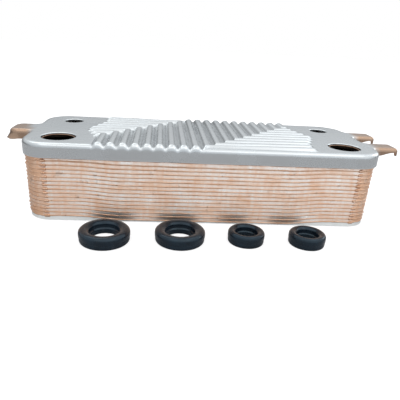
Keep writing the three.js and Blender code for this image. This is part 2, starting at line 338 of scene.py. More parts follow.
def stain_group() -> bpy.types.NodeTree:
    """Builds the cloudy furnace stains and finger marks of brazed stainless steel.

    Returns:
        A group that puts out a cloud value and a sparse spot mask, from 0 to 1.
    """
    inputs = {
        "Vector": ("NodeSocketVector", None),
        "Clouds per metre": ("NodeSocketFloat", 45.0),
        "Spots per metre": ("NodeSocketFloat", 260.0),
    }
    outputs = {"Cloud": "NodeSocketFloat", "Spot": "NodeSocketFloat"}
    tree, wiring, source, sink = new_group("furnace_stain", TreeKind.SHADER, inputs, outputs)
    cloud = wiring.noise(source.outputs["Vector"], source.outputs["Clouds per metre"], 5.0, 0.6)
    spots = wiring.noise(source.outputs["Vector"], source.outputs["Spots per metre"], 2.0, 0.3)
    wiring.feed(sink.inputs["Cloud"], cloud.smooth_step(0.3, 0.7))
    wiring.feed(sink.inputs["Spot"], spots.smooth_step(0.66, 0.74))
    return tree


# Pointiness ranges of the painted highlights on outer edges and of the painted shade in hollows.
EDGE_HIGHLIGHT_RANGE = (0.515, 0.58)  # of pointiness, which is 0.5 on a flat surface
HOLLOW_RANGE = (0.485, 0.42)
EDGE_SHAKE = 0.03  # how much the break-up moves those ranges


def edge_group() -> bpy.types.NodeTree:
    """Builds a mask of the outer edges, which take painted highlights, and one of the hollows, which mostly
    take painted shade.

    Returns:
        A group that puts out the edge highlight mask and the hollow mask.
    """
    inputs = {"Break-up": ("NodeSocketFloat", 0.5)}
    outputs = {"Worn": "NodeSocketFloat", "Hollow": "NodeSocketFloat"}
    tree, wiring, source, sink = new_group("edge_wear", TreeKind.SHADER, inputs, outputs)
    bend = wiring.term(wiring.node("ShaderNodeNewGeometry").outputs["Pointiness"])
    shaken = bend + (wiring.term(source.outputs["Break-up"]) - 0.5) * EDGE_SHAKE
    wiring.feed(sink.inputs["Worn"], shaken.smooth_step(*EDGE_HIGHLIGHT_RANGE))
    wiring.feed(sink.inputs["Hollow"], shaken.smooth_step(*HOLLOW_RANGE))
    return tree


@dataclass(frozen=True)
class SharedEffects:
    """The shader groups that more than one finish uses."""

    grain: bpy.types.NodeTree
    stain: bpy.types.NodeTree
    edge: bpy.types.NodeTree

    @classmethod
    def build(cls) -> "SharedEffects":
        """Builds each group once."""
        return cls(grain_group(), stain_group(), edge_group())


class Canvas:
    """A new material with its shader, and the effects placed in it."""

    def __init__(self, name: str, effects: SharedEffects) -> None:
        """Starts a material.

        Args:
            name: the material's name.
            effects: the shared groups.
        """
        self.material = bpy.data.materials.new(name)
        self.material.use_nodes = True
        self.wiring = Wiring(self.material.node_tree)
        self.shader = self.material.node_tree.nodes["Principled BSDF"]
        self.effects = effects
        self.place = self.wiring.node("ShaderNodeTexCoord").outputs["Object"]

    def effect(self, tree: bpy.types.NodeTree, **inputs: object) -> bpy.types.Node:
        """Places a shared group.

        Args:
            tree: the group.
            inputs: its inputs, with an underscore for each space.

        Returns:
            The group node.
        """
        node = self.wiring.node("ShaderNodeGroup", node_tree=tree)
        for name, value in inputs.items():
            self.wiring.feed(node.inputs[name.replace("_", " ")], value)
        return node

    def axis(self, name: str) -> Term:
        """The place along one axis, in metres.

        Args:
            name: X, Y or Z.

        Returns:
            The coordinate.
        """
        split = self.wiring.node("ShaderNodeSeparateXYZ", {0: self.place})
        return self.wiring.term(split.outputs[name])

    def bump(self, height: Number, strength: float, distance: float) -> None:
        """Gives the surface a relief.

        Args:
            height: the relief's height, from 0 to 1.
            strength: how strong it is.
            distance: its depth in metres.
        """
        inputs = {"Height": height, "Strength": strength, "Distance": distance}
        relief = self.wiring.node("ShaderNodeBump", inputs)
        self.wiring.feed(self.shader.inputs["Normal"], relief.outputs["Normal"])

    def finish(self, colour: object, roughness: Number, metallic: float) -> bpy.types.Material:
        """Feeds the shader.

        Args:
            colour: the base colour or its socket.
            roughness: the roughness.
            metallic: how far it is bare metal, from 0 to 1.

        Returns:
            The finished material.
        """
        self.wiring.feed(self.shader.inputs["Base Color"], colour)
        self.wiring.feed(self.shader.inputs["Roughness"], roughness)
        self.shader.inputs["Metallic"].default_value = metallic
        return self.material


@dataclass(frozen=True)
class PressedStainless:
    """The cover's satin stainless steel, tinted by copper towards the tabs' tips, with painted highlights on
    its outer edges and painted shade in its hollows.
    """

    name: str = "satin_stainless"
    steel: Colour = (0.60, 0.625, 0.635, 1.0)
    # the tone of the furnace stains and spots
    darker_tone: Colour = (0.47, 0.47, 0.46, 1.0)
    # the painted highlight's colour, on outer edges
    edge_highlight: Colour = (0.80, 0.82, 0.82, 1.0)
    # the painted shade's colour, in hollows and rib valleys
    painted_shade: Colour = (0.16, 0.17, 0.19, 1.0)
    copper: Colour = (0.38, 0.24, 0.155, 1.0)
    roughness: float = 0.27
    tint_start: float = 0.0935
    tint_end: float = 0.0995
    tint_wander: float = 0.004
    tint_share: float = 0.92
    cloud_share: float = 0.3
    hollow_share: float = 0.55
    edge_highlight_share: float = 0.5
    spot_share: float = 0.15
    relief: float = 0.06

    def material(self, effects: SharedEffects) -> bpy.types.Material:
        """Builds the material.

        Args:
            effects: the shared groups.

        Returns:
            The material.
        """
        canvas = Canvas(self.name, effects)
        wiring = canvas.wiring
        grain = canvas.effect(effects.grain, Vector=canvas.place)
        stain = canvas.effect(effects.stain, Vector=canvas.place)
        cloud = wiring.term(stain.outputs["Cloud"])
        edge = canvas.effect(effects.edge, **{"Break-up": cloud})
        change = wiring.term(grain.outputs["Change"])
        sheet = wiring.mix(cloud * self.cloud_share, self.steel, self.darker_tone)
        # Painted shade darkens the hollows, and a painted highlight lightens the outer edges.
        shaded = wiring.mix(wiring.term(edge.outputs["Hollow"]) * self.hollow_share, sheet, self.painted_shade)
        edge_highlighted = wiring.mix(wiring.term(edge.outputs["Worn"]) * self.edge_highlight_share, shaded, self.edge_highlight)
        reach = canvas.axis("X").math("ABSOLUTE") + (cloud - 0.5) * self.tint_wander
        tint = reach.smooth_step(self.tint_start, self.tint_end) * self.tint_share
        colour = wiring.mix(tint, edge_highlighted, self.copper)
        spotted = wiring.mix(wiring.term(stain.outputs["Spot"]) * self.spot_share, colour, self.darker_tone)
        roughness = change * 0.12 + cloud * 0.05 + (self.roughness - 0.08)
        canvas.bump(grain.outputs["Height"], self.relief, 0.1 * MM)
        return canvas.finish(spotted, roughness, 1.0)


@dataclass(frozen=True)
class WashedStainless:
    """The channel plates' thin steel, washed with copper beside the joints, with painted shade round the
    ports.
    """

    name: str = "copper_washed_stainless"
    steel: Colour = (0.90, 0.86, 0.82, 1.0)
    copper: Colour = (0.84, 0.52, 0.34, 1.0)
    dark: Colour = (0.34, 0.22, 0.15, 1.0)
    # the painted shade's colour, for the floors inside the ports
    soot: Colour = (0.045, 0.036, 0.030, 1.0)
    roughness: float = 0.27
    streaks_per_metre: float = 420.0
    drifts_per_metre: float = 60.0
    streak_share: float = 1.1
    drift_share: float = 1.5
    spot_share: float = 0.45
    relief: float = 0.25

    def material(self, effects: SharedEffects) -> bpy.types.Material:
        """Builds the material.

        Args:
            effects: the shared groups.

        Returns:
            The material.
        """
        canvas = Canvas(self.name, effects)
        wiring = canvas.wiring
        grain = canvas.effect(effects.grain, Vector=canvas.place)
        stain = canvas.effect(effects.stain, Vector=canvas.place)
        wash = wiring.term(wiring.node("ShaderNodeAttribute", attribute_name=COPPER_WASH).outputs["Fac"])
        streak_at = wiring.stretched(canvas.place, (1.0, 1.0, 0.25))
        streaks = wiring.noise(streak_at, self.streaks_per_metre, 4.0, 0.4)
        drift_at = wiring.stretched(canvas.place, (1.0, 1.0, 3.0))
        drift = wiring.noise(drift_at, self.drifts_per_metre, 3.0)
        uneven = wash + (streaks - 0.5) * self.streak_share + (drift - 0.5) * self.drift_share
        share = uneven.clipped()
        sheet = wiring.mix(share, self.steel, self.copper)
        browned = wiring.mix(wiring.term(stain.outputs["Spot"]) * wash * self.spot_share, sheet, self.dark)
        # Painted shade: the floors round the ports are darkened towards black, so that the port wells look
        # dark.
        shade_share = wiring.term(wiring.node("ShaderNodeAttribute", attribute_name=PORT_SHADE).outputs["Fac"])
        colour = wiring.mix(shade_share, browned, self.soot)
        change = wiring.term(grain.outputs["Change"])
        canvas.bump(grain.outputs["Height"], self.relief, 0.12 * MM)
        roughness = change * 0.2 + share * 0.10 + (self.roughness - 0.10)
        return canvas.finish(colour, roughness, 1.0)


@dataclass(frozen=True)
class PaleStainless:
    """The end plate's pale, matt steel, part of it under a thin scale, with painted shade in its hollows."""

    name: str = "pale_stainless"
    steel: Colour = (0.95, 0.97, 0.95, 1.0)
    # the tone of the thin scale, also used as painted shade in the hollows
    darker_tone: Colour = (0.78, 0.79, 0.77, 1.0)
    roughness: float = 0.36
    bare_share: float = 0.6
    cloud_share: float = 0.4
    hollow_share: float = 0.5
    relief: float = 0.2

    def material(self, effects: SharedEffects) -> bpy.types.Material:
        """Builds the material.

        Args:
            effects: the shared groups.

        Returns:
            The material.
        """
        canvas = Canvas(self.name, effects)
        wiring = canvas.wiring
        grain = canvas.effect(effects.grain, Vector=canvas.place)
        stain = canvas.effect(effects.stain, Vector=canvas.place)
        cloud = wiring.term(stain.outputs["Cloud"])
        edge = canvas.effect(effects.edge, **{"Break-up": cloud})
        sheet = wiring.mix(cloud * self.cloud_share, self.steel, self.darker_tone)
        # Painted shade: the hollows are darkened towards the darker tone.
        shaded = wiring.mix(wiring.term(edge.outputs["Hollow"]) * self.hollow_share, sheet, self.darker_tone)
        canvas.bump(grain.outputs["Height"], self.relief, 0.12 * MM)
        change = wiring.term(grain.outputs["Change"])
        roughness = change * 0.15 + cloud * 0.08 + (self.roughness - 0.10)
        return canvas.finish(shaded, roughness, self.bare_share)


@dataclass(frozen=True)
class BrazeCopper:
    """The copper of the joints: satin, uneven, oxidised here and there."""

    name: str = "braze_copper"
    copper: Colour = (0.64, 0.36, 0.22, 1.0)
    pale: Colour = (0.80, 0.56, 0.41, 1.0)
    brown: Colour = (0.30, 0.16, 0.10, 1.0)
    roughness: float = 0.33
    pale_share: float = 0.8
    spot_share: float = 0.7
    hollow_share: float = 0.5
    relief: float = 0.5

    def material(self, effects: SharedEffects) -> bpy.types.Material:
        """Builds the material.

        Args:
            effects: the shared groups.

        Returns:
            The material.
        """
        canvas = Canvas(self.name, effects)
        wiring = canvas.wiring
        grain = canvas.effect(effects.grain, Vector=canvas.place, Pits_per_metre=2400.0)
        stain = canvas.effect(effects.stain, Vector=canvas.place, Clouds_per_metre=110.0)
        cloud = wiring.term(stain.outputs["Cloud"])
        edge = canvas.effect(effects.edge, **{"Break-up": cloud})
        metal = wiring.mix(cloud * self.pale_share, self.copper, self.pale)
        spotted = wiring.mix(wiring.term(stain.outputs["Spot"]) * self.spot_share, metal, self.brown)
        colour = wiring.mix(wiring.term(edge.outputs["Hollow"]) * self.hollow_share, spotted, self.brown)
        change = wiring.term(grain.outputs["Change"])
        canvas.bump(grain.outputs["Height"], self.relief, 0.15 * MM)
        return canvas.finish(colour, change * 0.25 + (self.roughness - 0.12), 1.0)


@dataclass(frozen=True)
class MouldedRubber:
    """The seals' black rubber, with a faint painted blue reflection and bluish painted highlights on its
    outer edges.
    """

    name: str = "moulded_rubber"
    # The black, itself a little blue, and the blue tint below stand in for the room's bluish reflection:
    # painted reflection.
    black: Colour = (0.005, 0.008, 0.013, 1.0)
    painted_blue_reflection: Colour = (0.010, 0.020, 0.032, 1.0)
    dust: Colour = (0.05, 0.05, 0.06, 1.0)
    sheen: Colour = (0.65, 0.86, 1.0, 1.0)
    roughness: float = 0.21
    gloss: float = 0.42
    blue_reflection_share: float = 0.6
    rim_highlight_share: float = 0.3
    dust_share: float = 0.25
    relief: float = 0.18

    def material(self, effects: SharedEffects) -> bpy.types.Material:
        """Builds the material.

        Args:
            effects: the shared groups.

        Returns:
            The material.
        """
        canvas = Canvas(self.name, effects)
        wiring = canvas.wiring
        grain = canvas.effect(effects.grain, Vector=canvas.place, Pits_per_metre=3000.0)
        stain = canvas.effect(effects.stain, Vector=canvas.place, Clouds_per_metre=150.0)
        cloud = wiring.term(stain.outputs["Cloud"])
        edge = canvas.effect(effects.edge, **{"Break-up": cloud})
        # Painted reflection in clouds, then a painted highlight that lightens the outer edges with the same
        # blue.
        reflection_tinted = wiring.mix(cloud * self.blue_reflection_share, self.black, self.painted_blue_reflection)
        edge_lit = wiring.mix(wiring.term(edge.outputs["Worn"]) * self.rim_highlight_share, reflection_tinted, self.painted_blue_reflection)
        colour = wiring.mix(wiring.term(stain.outputs["Spot"]) * self.dust_share, edge_lit, self.dust)
        change = wiring.term(grain.outputs["Change"])
        canvas.bump(grain.outputs["Height"], self.relief, 0.12 * MM)
        canvas.shader.inputs["Specular IOR Level"].default_value = self.gloss
        canvas.shader.inputs["Specular Tint"].default_value = self.sheen
        roughness = change * 0.2 + cloud * 0.08 + (self.roughness - 0.14)
        return canvas.finish(colour, roughness, 0.0)


@dataclass(frozen=True)
class PaleFloor:
    """The plain pale floor, which is lit up a little to the eye and stays grey in reflections."""

    name: str = "pale_floor"
    grey: Colour = (0.42, 0.42, 0.43, 1.0)
    white: Colour = (1.0, 1.0, 1.0, 1.0)
    glow: float = 0.72

    def material(self, effects: SharedEffects) -> bpy.types.Material:
        """Builds the material.

        Args:
            effects: the shared groups.

        Returns:
            The material.
        """
        canvas = Canvas(self.name, effects)
        seen = canvas.wiring.term(canvas.wiring.node("ShaderNodeLightPath").outputs["Is Camera Ray"])
        canvas.shader.inputs["Emission Color"].default_value = self.white
        canvas.wiring.feed(canvas.shader.inputs["Emission Strength"], seen * self.glow)
        return canvas.finish(self.grey, 0.9, 0.0)


class Finish(Enum):
    """The finishes by the record's slot names, and the floor's."""

    COVER = ("cover_steel", PressedStainless())
    PLATE = ("plate_steel", WashedStainless())
    END = ("end_steel", PaleStainless())
    BRAZE = ("braze_copper", BrazeCopper())
    # Darker copper for the rings inside the ports: painted shade, so that the deep port wells look dark.
    PORT_BRAZE = ("braze_copper", BrazeCopper(
        name="sooted_copper",
        copper=(0.22, 0.13, 0.09, 1.0),
        pale=(0.34, 0.22, 0.15, 1.0),
        brown=(0.06, 0.04, 0.03, 1.0),
        roughness=0.42,
    ))
    SEAL = ("seal_rubber", MouldedRubber())
    FLOOR = ("", PaleFloor())


class Paintbox:
    """Builds each finish once and puts it on pieces."""

    def __init__(self) -> None:
        """Builds the shared effects and all the materials."""
        effects = SharedEffects.build()
        self.made = {finish: finish.value[1].material(effects) for finish in Finish}

    def material(self, finish: Finish) -> bpy.types.Material:
        """The material of one finish."""
        return self.made[finish]


@dataclass
class Workshop:
    """What every sub-assembly is built with."""

    paint: Paintbox

    def hand_over(self, piece: bpy.types.Object, finish: Finish, body: str, *nodes: str) -> None:
        """Gives a finished piece its material and smooth shading, hangs it on its body and hides the solids
        it stands for.

        Args:
            piece: the finished object.
            finish: its finish.
            body: the body that it moves with.
            nodes: the CAD nodes that it replaces.
        """
        mesh = piece.data
        mesh.materials.clear()
        mesh.materials.append(self.paint.material(finish))
        mesh.polygons.foreach_set("material_index", np.zeros(len(mesh.polygons), np.int32))
        mesh.polygons.foreach_set("use_smooth", np.ones(len(mesh.polygons), bool))
        mesh.set_sharp_from_angle(angle=SHARP_ANGLE)
        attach(piece, body)
        if nodes:
            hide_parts(*nodes)
        LOG.info("%s: %d faces on %s", piece.name, len(mesh.polygons), body)


# ----------------------------------------------------------------------------------------------------
# Sheet


@dataclass(frozen=True)
class Corner:
    """A round corner of an outline that is drawn anticlockwise."""

    x: float
    y: float
    radius: float
    quarter: int
    hollow: bool = False

    def walk(self, step: float) -> tuple[np.ndarray, np.ndarray]:
        """Points along the corner.

        Args:
            step: about how far apart they are.

        Returns:
            The points and their outward normals.
        """
        count = max(3, math.ceil(self.radius * math.pi / 2 / step))
        turn = -math.pi / 2 if self.hollow else math.pi / 2
        angles = self.quarter * math.pi / 2 + turn * np.linspace(0, 1, count + 1)
        rays = np.stack([np.cos(angles), np.sin(angles)], axis=1)
        points = np.array([self.x, self.y]) + rays * self.radius
        return points, -rays if self.hollow else rays


class Outline:
    """A closed outline with round corners, which can be drawn any distance inside itself."""

    def __init__(self, corners: Sequence[Corner], step: float) -> None:
        """Walks round the corners and the straight runs between them.

        Args:
            corners: the corners, anticlockwise.
            step: about how far apart the points are.
        """
        walks = [corner.walk(step) for corner in corners]
        points, normals = [], []
        for (here, facing), (there, _) in zip(walks, walks[1:] + walks[:1]):
            points.extend(here)
            normals.extend(facing)
            gap = there[0] - here[-1]
            count = int(np.linalg.norm(gap) // step)
            for i in range(1, count + 1):
                points.append(here[-1] + gap * i / (count + 1))
                normals.append(facing[-1])
        self.points = np.array(points)
        self.normals = np.array(normals)

    def ring(self, inset: float) -> np.ndarray:
        """The outline drawn this far inside itself."""
        return self.points - self.normals * inset


def rounded_rectangle(half_x: float, half_y: float, radius: float, step: float) -> Outline:
    """An outline about the origin.

    Args:
        half_x: half its length.
        half_y: half its width.
        radius: its corners' radius.
        step: about how far apart its points are.

    Returns:
        The outline.
    """
    x, y = half_x - radius, half_y - radius
    places = [(x, y), (-x, y), (-x, -y), (x, -y)]
    corners = [Corner(cx, cy, radius, quarter) for quarter, (cx, cy) in enumerate(places)]
    return Outline(corners, step)


def inside(points: np.ndarray, loop: np.ndarray) -> np.ndarray:
    """Tells which points lie inside a closed loop.

    Args:
        points: the points to test.
        loop: the loop's corners in order.

    Returns:
        One truth value for each point.
    """
    result = np.zeros(len(points), bool)
    for (x1, y1), (x2, y2) in zip(loop, np.roll(loop, -1, axis=0)):
        crosses = (y1 > points[:, 1]) != (y2 > points[:, 1])
        if y1 != y2:
            at = x1 + (points[:, 1] - y1) / (y2 - y1) * (x2 - x1)
            result ^= crosses & (points[:, 0] < at)
    return result


def staggered_grid(low: Sequence[float], high: Sequence[float], spacing: float) -> np.ndarray:
    """Points in staggered rows.

    Args:
        low: the lowest x and y.
        high: the highest x and y.
        spacing: how far apart the points in a row are.

    Returns:
        The points.
    """
    rows = np.arange(low[1], high[1], spacing * math.sqrt(3) / 2)
    made = []
    for i, y in enumerate(rows):
        xs = np.arange(low[0] + (spacing / 2 if i % 2 else 0), high[0], spacing)
        made.append(np.stack([xs, np.full(len(xs), y)], axis=1))
    return np.concatenate(made)


@dataclass(frozen=True)
class Hole:
    """A round port in a sheet."""

    x: float
    y: float
    radius: float

    def circle(self, extra: float, step: float) -> np.ndarray:
        """A circle of points about the hole.

        Args:
            extra: how much wider than the hole it is.
            step: about how far apart the points are.

        Returns:
            The points.
        """
        radius = self.radius + extra
        count = max(HOLE_POINTS, round(2 * math.pi * radius / step))
        angles = np.arange(count) * 2 * math.pi / count
        return np.array([self.x, self.y]) + radius * np.stack([np.cos(angles), np.sin(angles)], axis=1)

    def distance(self, points: np.ndarray) -> np.ndarray:
        """How far points are from the hole's axis."""
        return np.hypot(points[:, 0] - self.x, points[:, 1] - self.y)


@dataclass
class FlatFill:
    """A triangulated floor between an outer loop and round holes."""

    loop: np.ndarray
    margin: np.ndarray
    holes: Sequence[Hole]
    rim_widths: Sequence[float]
    fine: float
    coarse: float
    fine_reach: float
    points: np.ndarray = field(init=False)
    triangles: list[tuple[int, int, int]] = field(init=False)

    def __post_init__(self) -> None:
        """Lays out the points and triangulates them."""
        loops = [self.loop]
        for hole in self.holes:
            loops.extend(hole.circle(width, HOLE_STEP) for width in self.rim_widths)
        clear = self.rim_widths[-1] + self.coarse / 2
        grids = [self.grid(self.fine, -self.fine_reach, self.fine_reach, clear)]
        far = float(np.abs(self.loop[:, 0]).max())
        for sign in (-1, 1):
            low, high = sorted((sign * (self.fine_reach + self.coarse / 2), sign * far))
            grids.append(self.grid(self.coarse, low, high, clear))
        edges, start = [], 0
        for ring in loops:
            count = len(ring)
            edges.extend((start + i, start + (i + 1) % count) for i in range(count))
            start += count
        cloud = np.concatenate(loops + grids)
        flat = [Vector(point) for point in cloud]
        _, _, faces, origins, _, _ = delaunay_2d_cdt(flat, edges, [], 1, 1e-9)
        middles = np.array([np.mean([cloud[origins[i][0]] for i in face], axis=0) for face in faces])
        keep = np.ones(len(faces), bool)
        for hole in self.holes:
            keep &= hole.distance(middles) > hole.radius * 0.999
        self.points = cloud
        self.triangles = [tuple(origins[i][0] for i in faces[k]) for k in np.flatnonzero(keep)]

    def grid(self, spacing: float, low: float, high: float, clear: float) -> np.ndarray:
        """The grid points of one stretch that are clear of the loop and the holes.

        Args:
            spacing: how far apart the points are.
            low: the stretch's lowest x.
            high: the stretch's highest x.
            clear: how far the points stay from a hole's edge.

        Returns:
            The points.
        """
        top = float(np.abs(self.loop[:, 1]).max())
        made = staggered_grid((low, -top), (high, top), spacing)
        keep = inside(made, self.margin)
        for hole in self.holes:
            keep &= hole.distance(made) > hole.radius + clear
        return made[keep]


@dataclass
class SheetRow:
    """One row of points round a sheet's edge."""

    inset: np.ndarray | float
    height: np.ndarray
    weight: float
    wash: np.ndarray | float = 0.0


def sheet_object(name: str, outline: Outline, rows: Sequence[SheetRow], fill: FlatFill,
                 floor: np.ndarray, floor_wash: float = 0.0, bulge: np.ndarray | None = None,
                 soot: np.ndarray | None = None) -> bpy.types.Object:
    """Builds one sheet's outer face: rows up its skirt and over its fold, then its floor.

    Args:
        name: the object's name.
        outline: the skirt's outline.
        rows: the rows, from the lip to the floor's edge.
        fill: the floor, whose first points are the last row's.
        floor: the height of each of the floor's points.
        floor_wash: the copper wash on the floor.
        bulge: how far out each outline point is pushed in the skirt's rows.
        soot: how much painted shade each of the floor's points takes, round and inside the ports.

    Returns:
        The new object.
    """
    count = len(outline.points)
    push = np.zeros(count) if bulge is None else bulge
    painted_shade = np.zeros(len(fill.points)) if soot is None else soot
    stacked, weights, washes = [], [], []
    for row in rows[:-1]:
        flat = outline.points - outline.normals * (row.inset - push)[:, None]
        stacked.append(np.column_stack([flat, row.height]))
        weights.append(np.full(count, row.weight))
        washes.append(np.full(count, 1.0) * row.wash)
    stacked.append(np.column_stack([fill.points, floor]))
    weights.append(np.full(len(fill.points), 1.0))
    washes.append(np.full(len(fill.points), floor_wash))
    faces: list[tuple[int, ...]] = []
    for row in range(len(rows) - 1):
        low, high = row * count, (row + 1) * count
        for i in range(count):
            j = (i + 1) % count
            faces.append((low + i, low + j, high + j, high + i))
    start = (len(rows) - 1) * count
    faces.extend(tuple(start + i for i in triangle) for triangle in fill.triangles)
    mesh = bpy.data.meshes.new(name)
    mesh.from_pydata(np.concatenate(stacked).tolist(), [], faces)
    unshaded = np.zeros((len(rows) - 1) * count)
    for label, values in ((PRESS_WEIGHT, weights), (COPPER_WASH, washes), (PORT_SHADE, (unshaded, painted_shade))):
        layer = mesh.attributes.new(label, "FLOAT", "POINT")
        layer.data.foreach_set("value", np.concatenate(values).astype(np.float32))
    mesh.update()
    made = bpy.data.objects.new(name, mesh)
    bpy.context.scene.collection.objects.link(made)
    return made


def ripple(points: np.ndarray, cell: float, seed: float) -> np.ndarray:
    """Smooth noise between -1 and 1.

    Args:
        points: the places, with two or three coordinates.
        cell: the noise's cell size.
        seed: moves the pattern.

    Returns:
        One value for each point.
    """
    deep = np.zeros((len(points), 3))
    deep[:, :points.shape[1]] = points / cell
    return np.array([noise.noise(Vector((x + seed, y - seed, z + 0.5 * seed))) for x, y, z in deep])


@dataclass(frozen=True)
class Waviness:
    """Smooth random waves of one size: cell and height in millimetres, and a seed for each turn."""

    cell: float
    height: float
    seed: float

    def at(self, points: np.ndarray, turn: float = 1.0) -> np.ndarray:
        """The waves' heights.

        Args:
            points: the places in metres.
            turn: multiplies the seed, so that each plate has waves of its own.

        Returns:
            The height at each point in millimetres.
        """
        return ripple(points, self.cell * MM, self.seed * turn) * self.height


def smooth_step(values: np.ndarray, low: float, high: float) -> np.ndarray:
    """A smooth step from 0 at low to 1 at high."""
    share = np.clip((values - low) / (high - low), 0, 1)
    return share * share * (3 - 2 * share)


# ----------------------------------------------------------------------------------------------------
# Ribs


@dataclass(frozen=True)
class RibPattern:
    """Zigzag ribs: along X at both ends, along Y between two slanting rows of corners. In metres."""

    pitch: float = 6.1 * MM
    crest: float = 1.25 * MM
    valley: float = 0.75 * MM
    left_shift: float = 42.5 * MM
    right_shift: float = -33.5 * MM
    crest_offset: float = 0.0
    rise: float = 0.05
    field_end: float = 58.0 * MM
    field_bulge: float = 7.5 * MM
    bulge_half: float = 21.0 * MM
    rim: float = 33.8 * MM
    narrowing: float = 2.4
    turn: float = 1.0

    def inputs(self) -> dict[str, float]:
        """Gives the pattern as the rib tree's inputs.

        Returns:
            Each input's value by name.
        """
        return {
            "Pitch": self.pitch,
            "Crest": self.crest,
            "Valley": self.valley,
            "Left shift": self.left_shift,
            "Right shift": self.right_shift,
            "Crest offset": self.crest_offset,
            "Rise": self.rise,
            "Field end": self.field_end,
            "Field bulge": self.field_bulge,
            "Bulge half": self.bulge_half,
            "Rim": self.rim,
            "Narrowing": self.narrowing,
            "Turn": self.turn,
        }


CORNER_ROUNDING = 0.12  # of a zigzag's corners, as a share of the pitch
RIGHT_CORNER_FADE = 2.0 * MM
LEFT_CORNER_FADE = 1.0 * MM
RIM_FADE = 1.2 * MM
RIB_END_FADE = (-0.4 * MM, 2.4 * MM)


def rib_tree() -> bpy.types.NodeTree:
    """Builds the tree that presses zigzag ribs into a sheet.

    Returns:
        The geometry tree.
    """
    inputs: dict[str, tuple[str, object]] = {"Geometry": ("NodeSocketGeometry", None)}
    inputs |= {name: ("NodeSocketFloat", value) for name, value in RibPattern().inputs().items()}
    inputs["Material"] = ("NodeSocketMaterial", None)
    tree, wiring, source, sink = new_group(
        "press_ribs", TreeKind.GEOMETRY, inputs, {"Geometry": "NodeSocketGeometry"}
    )
    value = {name: wiring.term(source.outputs[name]) for name in RibPattern().inputs()}
    place = wiring.node("GeometryNodeInputPosition")
    split = wiring.node("ShaderNodeSeparateXYZ", {0: place.outputs[0]})
    x = wiring.term(split.outputs[0]) * value["Turn"]
    y = wiring.term(split.outputs[1]) * value["Turn"]
    blend = value["Pitch"] * CORNER_ROUNDING

    level = y - value["Rise"] * x
    middle = x + value["Left shift"]
    right = level + value["Left shift"] - value["Right shift"]
    phase = middle.math("SMOOTH_MIN", right, blend).math("SMOOTH_MAX", level, blend)
    turns = (phase - value["Left shift"] - value["Crest offset"]) / value["Pitch"]
    wave = (turns * (2 * math.pi)).math("COSINE")
    hollow = (1.0 - wave) * 0.5
    height = value["Crest"] - (value["Crest"] + value["Valley"]) * hollow.math("POWER", value["Narrowing"])

    nearest = turns.math("ROUND") * value["Pitch"] + value["Crest offset"] + value["Left shift"]
    crest_y = nearest + value["Rise"] * x
    on_right = (middle - right).smooth_step(-RIGHT_CORNER_FADE, RIGHT_CORNER_FADE)
    crest_at = crest_y - on_right * (value["Left shift"] - value["Right shift"])
    spread = (1.0 - crest_at.math("ABSOLUTE") / value["Bulge half"]).math("MAXIMUM", 0.0)
    reach = value["Field end"] + value["Field bulge"] * spread
    ended = (reach - x.math("ABSOLUTE")).smooth_step(*RIB_END_FADE)
    on_left = (level - middle).smooth_step(-LEFT_CORNER_FADE, LEFT_CORNER_FADE)
    along_x = on_left.math("MAXIMUM", on_right)
    past_rim = (y.math("ABSOLUTE") - value["Rim"]).smooth_step(-RIM_FADE, RIM_FADE)
    kept = 1.0 - along_x * past_rim
    weight = wiring.node("GeometryNodeInputNamedAttribute", {"Name": PRESS_WEIGHT}, data_type="FLOAT")
    lift = height * ended * kept * wiring.term(weight.outputs[0])

    offset = wiring.node("ShaderNodeCombineXYZ", {2: lift})
    moved = wiring.node("GeometryNodeSetPosition",
                        {"Geometry": source.outputs["Geometry"], "Offset": offset.outputs[0]})
    real = wiring.node("GeometryNodeRealizeInstances", {0: moved.outputs[0]})
    dressed = wiring.node("GeometryNodeSetMaterial",
                          {"Geometry": real.outputs[0], "Material": source.outputs["Material"]})
    wiring.feed(sink.inputs["Geometry"], dressed.outputs[0])
    return tree


# ----------------------------------------------------------------------------------------------------
# Sizes


@dataclass(frozen=True)
class NestSizes:
    """The sizes of the plates and the cover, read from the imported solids. In metres."""

    half_x: float
    half_y: float
    cover_x: float
    cover_y: float
    left_tip: float
    right_tip: float
    cover_lip: float
    top: float
    pitch: float
    plate_depth: float
    skirt: float
    plates: int
    corner: float = 12.8 * MM
    sheet: float = 0.35 * MM
    nest_gap: float = 0.08 * MM

    @classmethod
    def read(cls) -> "NestSizes":
        """Reads the sizes from the frame's boxes and the record's mounts.

        Returns:
            The sizes.
        """
        plates = [name for name in frame["nodes"] if name.startswith("channel_plate_")]
        first_low, first_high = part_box("channel_plate_01")
        second_low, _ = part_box("channel_plate_02")
        end_low, end_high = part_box("end_plate")
        cover_low, cover_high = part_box("cover_plate")
        mounts = {mount["name"]: mount["pos_m"] for mount in frame["record"]["mounts"]}
        top = mounts["port_face_left"][2]
        return cls(
            half_x=first_high.x,
            half_y=first_high.y,
            cover_x=first_high.x + COVER_OVERHANG,
            cover_y=cover_high.y,
            left_tip=-cover_low.x,
            right_tip=cover_high.x,
            cover_lip=cover_low.z,
            top=top,
            pitch=first_low.z - second_low.z,
            plate_depth=end_high.z - end_low.z,
            skirt=top - cover_low.z,
            plates=len(plates),
        )

    @property
    def slope(self) -> float:
        """How far a skirt flares out for each metre down."""
        return (self.sheet + self.nest_gap) / self.pitch

    def lip(self, number: int) -> float:
        """The nominal height of a plate's lip, where the cover has the number 0."""
        return self.cover_lip - number * self.pitch


@dataclass(frozen=True)
class Ports:
    """The four ports' places and bores."""

    spacing_x: float = 154 * MM
    spacing_y: float = 42 * MM
    large: float = 8.7 * MM
    small: float = 5.4 * MM
    ledge: float = 0.7 * MM

    def holes(self, narrower: float = 0.0) -> list[Hole]:
        """The four holes, the large ones first.

        Args:
            narrower: how much smaller than the cover's ports they are, on the radius.

        Returns:
            The holes.
        """
        x, y = self.spacing_x / 2, self.spacing_y / 2
        large, small = self.large - narrower, self.small - narrower
        return [Hole(-x, -y, large), Hole(x, -y, large), Hole(-x, y, small), Hole(x, y, small)]


# ----------------------------------------------------------------------------------------------------
# The cover


